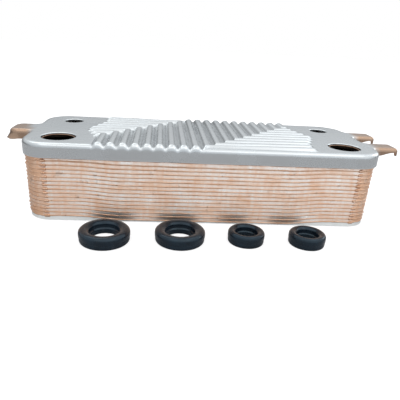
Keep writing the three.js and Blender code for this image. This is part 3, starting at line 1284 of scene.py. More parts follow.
@dataclass
class CoverPlate:
    """The pressed cover with its ribs, ports, folded skirt, tab and prongs. Lengths in millimetres."""

    sizes: NestSizes
    ports: Ports
    ribs: RibPattern = RibPattern()
    sheet: float = 1.0
    roll: float = 2.1
    corner: float = 14.5
    left_tab_width: float = 17.6
    left_tab_tip: float = 5.0
    left_tab_depth: float = 5.2
    prong_width: float = 12.2
    prong_gap: float = 16.2
    prong_tip: float = 2.2
    prong_depth: float = 4.6
    fillet: float = 2.5
    prong_thinning: float = 2.2
    hook_facing: tuple[float, float] = (-0.2, 0.5)
    hook_depth: float = 1.9
    tab_flare: float = 1.9
    tab_root: tuple[float, float] = (-0.3, 2.2)
    prong_run: tuple[float, float] = (2.0, 3.0)
    hook_run: tuple[float, float] = (2.4, 1.2)
    flare_start: float = 5.0
    flare_power: float = 1.3
    edge_weight: float = 0.34
    top_inset: float = 0.35
    rim_widths: tuple[float, ...] = (0.0, 0.12, 0.34, 0.7, 1.6)
    port_roll: float = 0.34
    fine: float = 0.56
    coarse: float = 2.2
    fine_reach: float = 67.0
    lip_waves: Waviness = Waviness(14, 0.12, 3.0)
    skirt_waves: Waviness = Waviness(30, 0.05, 8.0)
    top_waves: Waviness = Waviness(26, 0.03, 5.0)
    step: float = 0.75

    def outline(self) -> Outline:
        """Draws the cover's outline with its tab and its two prongs.

        Returns:
            The outline, anticlockwise.
        """
        sizes, fillet, tip = self.sizes, self.fillet * MM, self.prong_tip * MM
        corner, left_tip = self.corner * MM, self.left_tab_tip * MM
        x, y = sizes.cover_x - corner, sizes.cover_y - corner
        inner = self.prong_gap / 2 * MM
        outer = inner + self.prong_width * MM
        root = sizes.cover_x + fillet
        far = sizes.right_tip - tip
        near = -sizes.left_tip + left_tip
        half = self.left_tab_width / 2 * MM
        corners = [
            Corner(x, -y, corner, 3),
            Corner(root, -(outer + fillet), fillet, 2, True),
            Corner(far, -(outer - tip), tip, 3),
            Corner(far, -(inner + tip), tip, 0),
            Corner(root, -(inner - fillet), fillet, 3, True),
            Corner(root, inner - fillet, fillet, 2, True),
            Corner(far, inner + tip, tip, 3),
            Corner(far, outer - tip, tip, 0),
            Corner(root, outer + fillet, fillet, 3, True),
            Corner(x, y, corner, 0),
            Corner(-x, y, corner, 1),
            Corner(-root, half + fillet, fillet, 0, True),
            Corner(near, half - left_tip, left_tip, 1),
            Corner(near, -(half - left_tip), left_tip, 2),
            Corner(-root, -(half + fillet), fillet, 1, True),
            Corner(-x, -y, corner, 2),
        ]
        return Outline(corners, self.step * MM)

    def lips(self, outline: Outline) -> np.ndarray:
        """The height of the skirt's lip at each outline point, higher round the tabs.

        Args:
            outline: the cover's outline.

        Returns:
            The heights.
        """
        x = outline.points[:, 0]
        edge, tip = self.sizes.cover_x, self.sizes.right_tip
        reach = smooth_step(np.abs(x), edge + self.tab_root[0] * MM, edge + self.tab_root[1] * MM)
        depth = np.where(x < 0, self.left_tab_depth, self.prong_depth) * MM
        depth = self.sizes.skirt + (depth - self.sizes.skirt) * reach
        prong = smooth_step(x, edge + self.prong_run[0] * MM, tip - self.prong_run[1] * MM)
        hook = smooth_step(x, tip - self.hook_run[0] * MM, tip - self.hook_run[1] * MM)
        facing = smooth_step(-outline.normals[:, 1], *self.hook_facing)
        thinned = (prong * self.prong_thinning - hook * facing * self.hook_depth) * MM
        wobble = self.lip_waves.at(outline.points) * MM
        return self.sizes.top - depth + thinned + wobble * (1 - reach)

    def flare(self, outline: Outline) -> np.ndarray:
        """How far out the skirt's lip leans at each outline point, which is only round the left tab.

        Args:
            outline: the cover's outline.

        Returns:
            The distances.
        """
        x = -outline.points[:, 0]
        start = self.sizes.cover_x + self.flare_start * MM
        return smooth_step(x, start, self.sizes.left_tip) * self.tab_flare * MM

    def rows(self, outline: Outline) -> list[SheetRow]:
        """The rows up the skirt and over the rolled edge.

        Args:
            outline: the cover's outline.

        Returns:
            The rows, from the lip to the top.
        """
        roll = self.roll * MM
        lips, fold, flare = self.lips(outline), self.sizes.top - roll, self.flare(outline)
        made = []
        faint = ((0, 0), (0.06, 0), (0.3, 0), (0.5, 0), (0.7, 0.04), (0.86, 0.16), (1, self.edge_weight))
        for share, weight in faint:
            inset = -flare * (1 - share) ** self.flare_power
            made.append(SheetRow(inset, lips + (fold - lips) * share, weight))
        for degrees in (15, 30, 45, 60, 75, 90):
            angle = math.radians(degrees)
            inset = np.full(len(lips), roll * (1 - math.cos(angle)))
            height = np.full(len(lips), fold + roll * math.sin(angle))
            made.append(SheetRow(inset, height, self.edge_weight + (1 - self.edge_weight) * degrees / 90))
        return made

    def build(self, shop: Workshop, tree: bpy.types.NodeTree) -> bpy.types.Object:
        """Builds and dresses the cover.

        Args:
            shop: the workshop.
            tree: the rib tree.

        Returns:
            The finished piece.
        """
        outline = self.outline()
        rows = self.rows(outline)
        last = self.roll * MM
        holes = self.ports.holes()
        widths = [width * MM for width in self.rim_widths]
        fill = FlatFill(outline.ring(last), outline.ring(last + self.top_inset * MM), holes, widths,
                        self.fine * MM, self.coarse * MM, self.fine_reach * MM)
        floor = self.floor_heights(fill, holes)
        push = self.skirt_waves.at(outline.points) * MM
        made = sheet_object("pressed_cover", outline, rows, fill, floor, bulge=push)
        values = self.ribs.inputs() | {"Material": shop.paint.material(Finish.COVER)}
        shape_with(made, tree, values, self.sheet * MM)
        shop.hand_over(made, Finish.COVER, EXCHANGER_BODY, "cover_plate")
        return made

    def floor_heights(self, fill: FlatFill, holes: Sequence[Hole]) -> np.ndarray:
        """The top's height, with a small roll into each port and the slight unevenness of pressed sheet.

        Args:
            fill: the cover's floor.
            holes: the ports.

        Returns:
            The height of each floor point.
        """
        uneven = self.top_waves.at(fill.points) * MM
        near_edge = np.zeros(len(fill.points))
        roll = self.port_roll * MM
        for hole in holes:
            away = np.clip((hole.distance(fill.points) - hole.radius) / roll, 0, 1)
            near_edge = np.maximum(near_edge, 1 - np.sqrt(1 - (1 - away) ** 2))
        count = len(fill.loop)
        uneven[:count] = 0
        return self.sizes.top + uneven - near_edge * roll


# ----------------------------------------------------------------------------------------------------
# The nest of plates


@dataclass(frozen=True)
class LipWave:
    """How the plates' lips wander: up beside the ports and down along the middle. In millimetres."""

    middle_drop: float = 0.85
    port_lift: float = 0.75
    fall_start: float = 44.0
    fall_end: float = 67.0
    corner_fall: float = 0.35
    corner_start: float = 74.0
    corner_end: float = 88.0
    top_depth: float = 0.6
    short_waves: Waviness = Waviness(9, 0.12, 1.7)
    long_waves: Waviness = Waviness(30, 0.14, 4.1)

    def heights(self, points: np.ndarray, number: int, count: int) -> np.ndarray:
        """How far each point of a lip is moved up.

        Args:
            points: the lip's points.
            number: the plate's number from the top.
            count: how many plates there are.

        Returns:
            The moves in metres.
        """
        x = np.abs(points[:, 0]) / MM
        side = smooth_step(x, self.fall_start, self.fall_end)
        past = smooth_step(x, self.corner_start, self.corner_end)
        lift = -self.middle_drop + (self.middle_drop + self.port_lift) * side - self.corner_fall * past
        depth = self.top_depth + (1 - self.top_depth) * number / count
        wander = self.short_waves.at(points, number) + self.long_waves.at(points, number)
        return (lift * depth + wander) * MM


@dataclass
class PlateNest:
    """The channel plates and the end plate, with flared skirts nested in one another. In millimetres."""

    sizes: NestSizes
    ports: Ports
    wave: LipWave = LipWave()
    fold: float = 1.0
    collar_width: float = 2.2
    collar_foot: float = 0.9
    end_sheet: float = 1.0
    rises: tuple[float, ...] = (0.0, 0.3, 0.7, 1.1, 1.6, 2.2, 3.0, 4.2)
    wave_top: float = 1.6
    plain_wash: float = 0.22
    lip_wash: float = 0.66
    lip_wash_reach: float = 0.42
    joint_wash: float = 0.42
    joint_wash_reach: float = 0.5
    corner_wash: float = 0.60
    floor_wash: float = 0.3
    corner_lean: float = 0.35  # how far a normal leans where a corner counts in full
    pleat_waves: Waviness = Waviness(1.6, 0.10, 2.3)
    dent_waves: Waviness = Waviness(7.0, 0.03, 5.1)
    fine: float = 1.25
    coarse: float = 3.0
    fine_reach: float = 66.0
    floor_inset: float = 0.6
    port_shade_start: float = 1.0
    port_shade_end: float = 6.0
    port_shade_fade: float = 0.6
    rib_gap: float = 0.05
    rib_rim: float = 30.5
    rib_fade: tuple[float, float] = (33.0, 31.0)
    step: float = 1.1

    def outline(self) -> Outline:
        """The outline of every plate's lip."""
        sizes = self.sizes
        return rounded_rectangle(sizes.half_x, sizes.half_y, sizes.corner, self.step * MM)

    def corner_share(self, outline: Outline) -> np.ndarray:
        """How far each outline point is into a corner, from 0 to 1.

        Args:
            outline: the plates' outline.

        Returns:
            The shares.
        """
        lean = np.abs(outline.normals).min(axis=1)
        return smooth_step(lean, 0.0, self.corner_lean)

    def pleats(self, outline: Outline, number: int) -> np.ndarray:
        """The small pleats that drawing leaves in a skirt's corners.

        Args:
            outline: the plates' outline.
            number: the plate's number.

        Returns:
            How far out each point is pushed.
        """
        fine = self.pleat_waves.at(outline.points, number)
        broad = self.dent_waves.at(outline.points, number)
        return (self.corner_share(outline) * fine + broad) * MM

    def rows(self, outline: Outline, number: int) -> list[SheetRow]:
        """The rows up a skirt and over its fold, with the copper wash along them.

        Args:
            outline: the plates' outline.
            number: the plate's number, where the end plate has the last.

        Returns:
            The rows, from the lip to the floor's edge.
        """
        sizes = self.sizes
        lip, depth, slope = sizes.lip(number), sizes.plate_depth, sizes.slope
        is_end = number > sizes.plates
        if is_end:
            cut = slope * self.end_sheet * MM
            lip, depth = lip + cut, depth - cut
        moves = np.zeros(len(outline.points))
        if not is_end:
            moves = self.wave.heights(outline.points, number, sizes.plates)
        corner = self.corner_share(outline)
        made = []
        for rise in self.rises:
            up = rise * MM
            faded = moves * (1 - smooth_step(np.array([rise]), self.wave_top, self.rises[-1])[0])
            heights = lip + up + faded
            near_lip = math.exp(-rise / self.lip_wash_reach)
            below_joint = abs(sizes.pitch / MM - self.joint_wash_reach - rise)
            near_joint = math.exp(-below_joint / self.joint_wash_reach)
            wash = self.plain_wash + self.lip_wash * near_lip + self.joint_wash * near_joint
            wash = np.clip(wash + self.corner_wash * corner, 0, 1)
            if is_end:
                wash = np.zeros(len(corner))
            made.append(SheetRow(slope * up, heights, 0.0, wash))
        fold = self.fold * MM
        top = lip + depth
        for degrees in (0, 30, 60, 90):
            angle = math.radians(degrees)
            height = top - fold * (1 - math.sin(angle))
            inset = slope * (depth - fold) + fold * (1 - math.cos(angle))
            made.append(SheetRow(inset, np.full(len(moves), height), 0.0, self.floor_wash))
        return made

    def floor_fill(self, outline: Outline, holes: Sequence[Hole], fine: float) -> FlatFill:
        """The floor that all the plates share.

        Args:
            outline: the plates' outline.
            holes: the ports, if the plate has them.
            fine: the spacing of the points in the ribbed field.

        Returns:
            The floor.
        """
        last = float(self.rows(outline, 1)[-1].inset)
        widths = (0.0, self.collar_width * MM, (self.collar_width + self.collar_foot) * MM)
        return FlatFill(outline.ring(last), outline.ring(last + self.floor_inset * MM), holes, widths,
                        fine, self.coarse * MM, self.fine_reach * MM)

    def collar_heights(self, fill: FlatFill, holes: Sequence[Hole], number: int) -> np.ndarray:
        """The raised collars round the two ports that a plate seals.

        Args:
            fill: the floor.
            holes: the ports, the large ones first.
            number: the plate's number.

        Returns:
            How far each floor point is raised.
        """
        sealed = holes[:2] if number % 2 else holes[2:]
        tall = self.sizes.pitch - self.sizes.sheet - self.sizes.nest_gap
        raised = np.zeros(len(fill.points))
        for hole in sealed:
            away = hole.distance(fill.points) - hole.radius
            foot = (self.collar_width + self.collar_foot) * MM
            raised = np.maximum(raised, 1 - smooth_step(away, self.collar_width * MM, foot))
        return raised * tall

    def soot(self, fill: FlatFill, holes: Sequence[Hole]) -> np.ndarray:
        """The painted shade on the floors round the ports, which darkens the port wells: full at each port's
        edge, fading to a lesser share further off.

        Args:
            fill: the floor.
            holes: the ports.

        Returns:
            How much painted shade each floor point takes.
        """
        near = np.min([hole.distance(fill.points) - hole.radius for hole in holes], axis=0)
        return 1 - smooth_step(near, self.port_shade_start * MM, self.port_shade_end * MM) * self.port_shade_fade

    def pattern(self, number: int) -> RibPattern:
        """A channel plate's herringbone, which is turned round on every second plate.

        Args:
            number: the plate's number.

        Returns:
            The pattern.
        """
        reach = (self.sizes.pitch - self.sizes.sheet) / 2 - self.rib_gap * MM
        turn = 1.0 if number % 2 else -1.0
        return RibPattern(crest=reach, valley=reach, rim=self.rib_rim * MM, turn=turn)

    def build(self, shop: Workshop, tree: bpy.types.NodeTree) -> None:
        """Builds and dresses all the channel plates and the end plate.

        Args:
            shop: the workshop.
            tree: the rib tree.
        """
        outline = self.outline()
        holes = self.ports.holes(self.ports.ledge)
        fill = self.floor_fill(outline, holes, self.fine * MM)
        edge = len(fill.loop)
        fade_start, fade_end = (place * MM for place in self.rib_fade)
        away_from_rim = smooth_step(np.abs(fill.points[:, 1]), fade_start, fade_end)
        for number in range(1, self.sizes.plates + 1):
            rows = self.rows(outline, number)
            floor = np.full(len(fill.points), self.sizes.lip(number) + self.sizes.plate_depth)
            floor += self.collar_heights(fill, holes, number)
            made = sheet_object(f"pressed_channel_plate_{number:02d}", outline, rows, fill, floor,
                                self.floor_wash, self.pleats(outline, number), self.soot(fill, holes))
            weight = made.data.attributes[PRESS_WEIGHT]
            values = np.zeros(len(made.data.vertices), np.float32)
            values[-len(fill.points):] = away_from_rim
            values[-len(fill.points):][:edge] = 0
            weight.data.foreach_set("value", values)
            inputs = self.pattern(number).inputs() | {"Material": shop.paint.material(Finish.PLATE)}
            shape_with(made, tree, inputs, self.sizes.sheet)
            shop.hand_over(made, Finish.PLATE, EXCHANGER_BODY, f"channel_plate_{number:02d}")
        self.build_end(shop, tree, outline)

    def build_end(self, shop: Workshop, tree: bpy.types.NodeTree, outline: Outline) -> None:
        """Builds and dresses the blank end plate.

        Args:
            shop: the workshop.
            tree: the rib tree, run with no height so that it only sets the material.
            outline: the plates' outline.
        """
        number = self.sizes.plates + 1
        fill = self.floor_fill(outline, [], self.coarse * MM)
        floor = np.full(len(fill.points), self.sizes.lip(number) + self.sizes.plate_depth)
        made = sheet_object("pressed_end_plate", outline, self.rows(outline, number), fill, floor)
        flat = RibPattern(crest=0.0, valley=0.0).inputs()
        shape_with(made, tree, flat | {"Material": shop.paint.material(Finish.END)}, self.end_sheet * MM)
        shop.hand_over(made, Finish.END, EXCHANGER_BODY, "end_plate")


# ----------------------------------------------------------------------------------------------------
# The braze


LUMP_ROUNDS = 3  # the subdivisions of a lump's sphere
NOISE_MIDDLE = 0.45  # of the beads' noise
RINGS_NOISE = 700.0  # lumps per metre on the rings in the ports


def bead_tree() -> bpy.types.NodeTree:
    """Builds the tree that runs an uneven bead along a path.

    Returns:
        The geometry tree.
    """
    inputs = {
        "Geometry": ("NodeSocketGeometry", None),
        "Radius": ("NodeSocketFloat", 0.4 * MM),
        "Sides": ("NodeSocketInt", 8),
        "Unevenness": ("NodeSocketFloat", 0.12 * MM),
        "Lumps per metre": ("NodeSocketFloat", 520.0),
        "Lump radius": ("NodeSocketFloat", 0.75 * MM),
        "Seed": ("NodeSocketFloat", 0.0),
        "Material": ("NodeSocketMaterial", None),
    }
    tree, wiring, source, sink = new_group(
        "run_bead", TreeKind.GEOMETRY, inputs, {"Geometry": "NodeSocketGeometry"}
    )
    path = wiring.node("GeometryNodeMeshToCurve", {0: source.outputs["Geometry"]})
    swell = wiring.node("GeometryNodeInputNamedAttribute", {"Name": BEAD_SWELL}, data_type="FLOAT")
    section = wiring.node("GeometryNodeCurvePrimitiveCircle",
                          {"Resolution": source.outputs["Sides"], "Radius": source.outputs["Radius"]})
    swept = wiring.node("GeometryNodeCurveToMesh", {
        "Curve": path.outputs[0],
        "Profile Curve": section.outputs[0],
        "Scale": swell.outputs[0],
    })
    lumps = wiring.node("ShaderNodeTexNoise", {
        "W": source.outputs["Seed"],
        "Scale": source.outputs["Lumps per metre"],
        "Detail": 3.0,
    }, noise_dimensions="4D")
    size = wiring.node("GeometryNodeInputNamedAttribute", {"Name": BEAD_LUMP}, data_type="FLOAT")
    chosen = wiring.term(size.outputs[0]).math("GREATER_THAN", 0.0)
    spots = wiring.node("GeometryNodeMeshToPoints",
                        {"Mesh": source.outputs["Geometry"], "Selection": chosen})
    blob = wiring.node("GeometryNodeMeshIcoSphere",
                       {"Radius": source.outputs["Lump radius"], "Subdivisions": LUMP_ROUNDS})
    blobs = wiring.node("GeometryNodeInstanceOnPoints", {
        "Points": spots.outputs[0],
        "Instance": blob.outputs[0],
        "Scale": size.outputs[0],
    })
    solid_blobs = wiring.node("GeometryNodeRealizeInstances", {0: blobs.outputs[0]})
    whole = wiring.node("GeometryNodeJoinGeometry")
    wiring.feed(whole.inputs[0], swept.outputs[0])
    wiring.feed(whole.inputs[0], solid_blobs.outputs[0])
    rough = (wiring.term(lumps.outputs[0]) - NOISE_MIDDLE) * 2.0 * wiring.term(source.outputs["Unevenness"])
    outward = wiring.node("GeometryNodeInputNormal")
    offset = wiring.node("ShaderNodeVectorMath", {0: outward.outputs[0], "Scale": rough}, operation="SCALE")
    moved = wiring.node("GeometryNodeSetPosition",
                        {"Geometry": whole.outputs[0], "Offset": offset.outputs[0]})
    real = wiring.node("GeometryNodeRealizeInstances", {0: moved.outputs[0]})
    dressed = wiring.node("GeometryNodeSetMaterial",
                          {"Geometry": real.outputs[0], "Material": source.outputs["Material"]})
    wiring.feed(sink.inputs["Geometry"], dressed.outputs[0])
    return tree


def ring_stack_tree() -> bpy.types.NodeTree:
    """Builds the tree that stacks rings of braze down a port.

    Returns:
        The geometry tree.
    """
    inputs = {
        "Geometry": ("NodeSocketGeometry", None),
        "Rings": ("NodeSocketInt", 8),
        "Drop": ("NodeSocketFloat", 4 * MM),
        "Ring radius": ("NodeSocketFloat", 8 * MM),
        "Ring steps": ("NodeSocketInt", 48),
        "Bead radius": ("NodeSocketFloat", 0.3 * MM),
        "Sides": ("NodeSocketInt", 8),
        "Unevenness": ("NodeSocketFloat", 0.08 * MM),
        "Seed": ("NodeSocketFloat", 0.0),
        "Material": ("NodeSocketMaterial", None),
    }
    tree, wiring, source, sink = new_group(
        "stack_rings", TreeKind.GEOMETRY, inputs, {"Geometry": "NodeSocketGeometry"}
    )
    drop = wiring.node("ShaderNodeCombineXYZ", {2: wiring.term(source.outputs["Drop"]) * -1.0})
    copies = wiring.node("GeometryNodeMeshLine",
                         {"Count": source.outputs["Rings"], "Offset": drop.outputs[0]})
    starts = wiring.node("GeometryNodeInstanceOnPoints",
                         {"Points": source.outputs["Geometry"], "Instance": copies.outputs[0]})
    levels = wiring.node("GeometryNodeRealizeInstances", {0: starts.outputs[0]})
    loop = wiring.node("GeometryNodeCurvePrimitiveCircle",
                       {"Resolution": source.outputs["Ring steps"], "Radius": source.outputs["Ring radius"]})
    section = wiring.node("GeometryNodeCurvePrimitiveCircle",
                          {"Resolution": source.outputs["Sides"], "Radius": source.outputs["Bead radius"]})
    ring = wiring.node("GeometryNodeCurveToMesh",
                       {"Curve": loop.outputs[0], "Profile Curve": section.outputs[0]})
    rings = wiring.node("GeometryNodeInstanceOnPoints",
                        {"Points": levels.outputs[0], "Instance": ring.outputs[0]})
    real = wiring.node("GeometryNodeRealizeInstances", {0: rings.outputs[0]})
    lumps = wiring.node("ShaderNodeTexNoise", {
        "W": source.outputs["Seed"],
        "Scale": RINGS_NOISE,
        "Detail": 2.0,
    }, noise_dimensions="4D")
    swell = (wiring.term(lumps.outputs[0]) - 0.5) * 2.0 * wiring.term(source.outputs["Unevenness"])
    outward = wiring.node("GeometryNodeInputNormal")
    offset = wiring.node("ShaderNodeVectorMath", {0: outward.outputs[0], "Scale": swell}, operation="SCALE")
    moved = wiring.node("GeometryNodeSetPosition", {"Geometry": real.outputs[0], "Offset": offset.outputs[0]})
    dressed = wiring.node("GeometryNodeSetMaterial",
                          {"Geometry": moved.outputs[0], "Material": source.outputs["Material"]})
    wiring.feed(sink.inputs["Geometry"], dressed.outputs[0])
    return tree


def path_object(name: str, points: np.ndarray, layers: dict[str, np.ndarray] | None = None
                ) -> bpy.types.Object:
    """An object that holds points, joined in a loop where they carry numbers.

    Args:
        name: the object's name.
        points: the points.
        layers: numbers for the points, by name.

    Returns:
        The object.
    """
    count = len(points)
    edges = [(i, (i + 1) % count) for i in range(count)] if layers else []
    mesh = bpy.data.meshes.new(name)
    mesh.from_pydata(points.tolist(), edges, [])
    for label, values in (layers or {}).items():
        layer = mesh.attributes.new(label, "FLOAT", "POINT")
        layer.data.foreach_set("value", values.astype(np.float32))
    made = bpy.data.objects.new(name, mesh)
    bpy.context.scene.collection.objects.link(made)
    return made


@dataclass
class BrazeBeads:
    """The copper beads that run round the stack under every lip. In millimetres."""

    sizes: NestSizes
    nest: PlateNest
    radius: float = 0.40
    top_radius: float = 0.55
    inset: float = 0.20
    top_out: float = 0.15
    below_lip: float = 0.12
    join_middle: float = 0.3
    join_half: float = 0.29
    height_jitter: tuple[float, float, float] = (0.06, 0.16, 0.10)  # everywhere, at joins, in corners
    side_jitter: tuple[float, float] = (0.05, 0.08)  # everywhere, at joins
    swell_middle: float = 0.35
    swell_width: float = 0.3
    swell_range: tuple[float, float] = (0.45, 1.7)
    plain_swell: float = 0.86
    broad_swell: float = 0.16
    fine_swell: float = 0.10
    join_swell: float = 0.35
    join_roughness: float = 0.5
    corner_roughness: float = 0.3
    lump_start: float = 0.02
    lump_end: float = 0.75
    lump_chance: float = 0.62
    lump_cell: float = 0.9
    lump_seed: tuple[float, float] = (9.3, 0.37)
    gathered_lump: tuple[float, float] = (0.55, 0.9)  # the least size, and what chance adds
    scattered_lump: tuple[float, float] = (0.25, 0.6)
    seed: float = 1.9
    top_waves: Waviness = Waviness(6, 0.1, 11.0)
    height_waves: Waviness = Waviness(2.2, 1.0, 3.3)
    side_waves: Waviness = Waviness(3.0, 1.0, 7.7)
    fine_swelling: Waviness = Waviness(1.5, 1.0, 6.1)
    broad_swelling: Waviness = Waviness(12, 1.0, 2.9)
    step: float = 0.8

    def path(self, outline: Outline, number: int) -> np.ndarray:
        """The path of the bead under one plate's lip.

        Args:
            outline: the plates' outline, with this bead's step.
            number: the plate's number, where the cover has 0.

        Returns:
            The points.
        """
        sizes = self.sizes
        if number == 0:
            flat = outline.ring(-self.top_out * MM)
            wander = self.top_waves.at(flat) * MM
            return np.column_stack([flat, sizes.lip(0) - self.top_out * MM + wander])
        corner = self.nest.corner_share(outline)
        join = np.abs(corner - self.join_middle) < self.join_half
        waves = self.nest.wave.heights(outline.points, number, sizes.plates)
        everywhere, at_joins, in_corners = self.height_jitter
        shares = everywhere + at_joins * join + in_corners * corner
        jitter = self.height_waves.at(outline.points, number) * shares
        plain_side, join_side = self.side_jitter
        aside = self.side_waves.at(outline.points, number) * (plain_side + join_side * join) * MM
        push = self.nest.pleats(outline, number) + aside
        flat = outline.points - outline.normals * (self.inset * MM - push[:, None])
        heights = sizes.lip(number) - self.below_lip * MM + waves + jitter * MM
        return np.column_stack([flat, heights])

    def swelling(self, outline: Outline, number: int) -> np.ndarray:
        """How thick the bead is: uneven everywhere, with lumps where the corners start.

        Args:
            outline: the plates' outline, with this bead's step.
            number: the plate's number.

        Returns:
            A share of the usual size at each point.
        """
        corner = self.nest.corner_share(outline)
        join = np.exp(-((corner - self.swell_middle) / self.swell_width) ** 2) * (corner > 0)
        fine = self.fine_swelling.at(outline.points, number)
        broad = self.broad_swelling.at(outline.points, number)
        swell = self.plain_swell + self.broad_swell * broad + self.fine_swell * fine
        swell += join * (self.join_swell + self.join_roughness * fine)
        swell += corner * self.corner_roughness * fine
        return np.clip(swell, *self.swell_range)

    def lumps(self, outline: Outline, number: int) -> np.ndarray:
        """The lumps of braze, which gather where the corners start and lie scattered round them.

        Args:
            outline: the plates' outline, with this bead's step.
            number: the plate's number.

        Returns:
            The size of the lump at each point as a share of the usual one, or 0 for none.
        """
        if number == 0:
            return np.zeros(len(outline.points))
        corner = self.nest.corner_share(outline)
        turn, start = self.lump_seed
        chance = (ripple(outline.points, self.lump_cell * MM, turn * number + start) + 1) / 2
        gathered = (corner > self.lump_start) & (corner < self.lump_end)
        scattered = (corner >= self.lump_end) & (chance > self.lump_chance)
        large = self.gathered_lump[0] + self.gathered_lump[1] * chance
        small = self.scattered_lump[0] + self.scattered_lump[1] * chance
        return np.where(gathered, large, np.where(scattered, small, 0.0))

    def build(self, shop: Workshop, tree: bpy.types.NodeTree) -> None:
        """Builds and dresses every bead.

        Args:
            shop: the workshop.
            tree: the bead tree.
        """
        sizes = self.sizes
        outline = rounded_rectangle(sizes.half_x, sizes.half_y, sizes.corner, self.step * MM)
        for number in range(sizes.plates + 1):
            layers = {
                BEAD_SWELL: self.swelling(outline, number),
                BEAD_LUMP: self.lumps(outline, number),
            }
            made = path_object(f"braze_line_{number + 1:02d}", self.path(outline, number), layers)
            radius = self.radius if number else self.top_radius
            inputs = {
                "Radius": radius * MM,
                "Seed": self.seed * number,
                "Material": shop.paint.material(Finish.BRAZE),
            }
            shape_with(made, tree, inputs)
            shop.hand_over(made, Finish.BRAZE, EXCHANGER_BODY, f"braze_bead_{number + 1:02d}")


@dataclass
class PortBraze:
    """The rings of braze that seal the collars inside the four ports. In millimetres."""

    sizes: NestSizes
    ports: Ports
    bead: float = 0.32
    ring_gap: float = 0.12
    seed: float = 3.7

    def build(self, shop: Workshop, tree: bpy.types.NodeTree) -> None:
        """Builds and dresses one stack of rings for each port.

        Args:
            shop: the workshop.
            tree: the ring stack tree.
        """
        sizes = self.sizes
        names = ("large_left", "large_right", "small_left", "small_right")
        for index, (name, hole) in enumerate(zip(names, self.ports.holes(self.ports.ledge))):
            first = 1 if index < 2 else 2
            top = sizes.lip(first) + sizes.plate_depth + sizes.pitch - sizes.sheet
            made = path_object(f"port_braze_{name}", np.array([[hole.x, hole.y, top]]))
            inputs = {
                "Rings": (sizes.plates - first) // 2 + 1,
                "Drop": 2 * sizes.pitch,
                "Ring radius": hole.radius + self.ring_gap * MM,
                "Bead radius": self.bead * MM,
                "Seed": self.seed * index,
                "Material": shop.paint.material(Finish.PORT_BRAZE),
            }
            shape_with(made, tree, inputs)
            shop.hand_over(made, Finish.PORT_BRAZE, EXCHANGER_BODY)


# ----------------------------------------------------------------------------------------------------
# The seals


@dataclass(frozen=True)
class ProfilePoint:
    """A corner of a seal's section: shares of the wall and of the height, and a rounding in millimetres."""

    out: float
    up: float
    rounding: float


class SealSize(Enum):
    """The two sizes of port seal."""

    LARGE = "large"
    SMALL = "small"

    @property
    def bore_share(self) -> float:
        """The bore inside the lip, as a share of the ring's outside."""
        return {SealSize.LARGE: 0.508, SealSize.SMALL: 0.514}[self]


@dataclass
class PortSeal:
    """One moulded rubber ring: a bevelled crown, a step round its side and a lip in its bore."""

    size: SealSize
    side: str
    section: tuple[ProfilePoint, ...] = (
        ProfilePoint(0.06, 0.0, 0.3),
        ProfilePoint(0.90, 0.0, 0.4),
        ProfilePoint(0.96, 0.10, 0.4),
        ProfilePoint(0.96, 0.35, 0.08),
        ProfilePoint(0.945, 0.38, 0.08),
        ProfilePoint(0.99, 0.42, 0.15),
        ProfilePoint(1.0, 0.60, 0.6),
        ProfilePoint(0.985, 0.80, 0.4),
        ProfilePoint(0.83, 0.955, 0.4),
        ProfilePoint(0.62, 1.0, 0.7),
        ProfilePoint(0.38, 0.965, 0.5),
        ProfilePoint(0.16, 0.84, 0.3),
        ProfilePoint(0.14, 0.74, 0.3),
        ProfilePoint(0.14, 0.50, 0.15),
        ProfilePoint(0.0, 0.42, 0.4),
        ProfilePoint(0.0, 0.10, 0.3),
    )
    turns: int = 112

    @property
    def node(self) -> str:
        """The CAD node that this seal stands for."""
        return f"{self.size.value}_port_seal_{self.side}"

    def profile(self, inner: float, wall: float, height: float) -> np.ndarray:
        """The section with its corners rounded.

        Args:
            inner: the bore's radius.
            wall: the ring's width.
            height: the ring's height.

        Returns:
            Radius and height of each point, in order.
        """
        corners = np.array([[inner + p.out * wall, p.up * height] for p in self.section])
        made = []
        for i, point in enumerate(self.section):
            here, before, after = corners[i], corners[i - 1], corners[(i + 1) % len(corners)]
            back, ahead = before - here, after - here
            shorter = min(np.linalg.norm(back), np.linalg.norm(ahead))
            reach = min(point.rounding * MM, CURVE_LIMIT * shorter)
            start = here + back / np.linalg.norm(back) * reach
            end = here + ahead / np.linalg.norm(ahead) * reach
            for share in np.linspace(0, 1, PROFILE_STEPS):
                made.append((1 - share) ** 2 * start + 2 * share * (1 - share) * here + share ** 2 * end)
        return np.array(made)

    def build(self, shop: Workshop) -> None:
        """Builds and dresses the seal.

        Args:
            shop: the workshop.
        """
        low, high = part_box(self.node)
        outer = (high.x - low.x) / 2
        inner = outer * self.size.bore_share
        centre = (low + high) / 2
        profile = self.profile(inner, outer - inner, high.z - low.z)
        count = len(profile)
        points, faces = [], []
        for i in range(self.turns):
            angle = 2 * math.pi * i / self.turns
            for radius, height in profile:
                points.append((centre.x + radius * math.cos(angle), centre.y + radius * math.sin(angle),
                               low.z + height))
            j = (i + 1) % self.turns
            for k in range(count):
                m = (k + 1) % count
                faces.append((i * count + k, j * count + k, j * count + m, i * count + m))
        mesh = bpy.data.meshes.new(f"moulded_{self.node}")
        mesh.from_pydata(points, [], faces)
        mesh.update()
        made = bpy.data.objects.new(mesh.name, mesh)
        bpy.context.scene.collection.objects.link(made)
        shop.hand_over(made, Finish.SEAL, f"{self.node}_body", self.node)


# ----------------------------------------------------------------------------------------------------
# The studio


@dataclass(frozen=True)
class CameraPlace:
    """Where the camera stands, from the middle of the ports, in millimetres and degrees."""

    x: float = -24.17
    y: float = -236.24
    above_ports: float = 50.85
    yaw: float = 5.13
    pitch: float = 23.22
    roll: float = 3.44
    lens: float = 36.8
    shift_x: float = 0.0195
    shift_y: float = 0.033


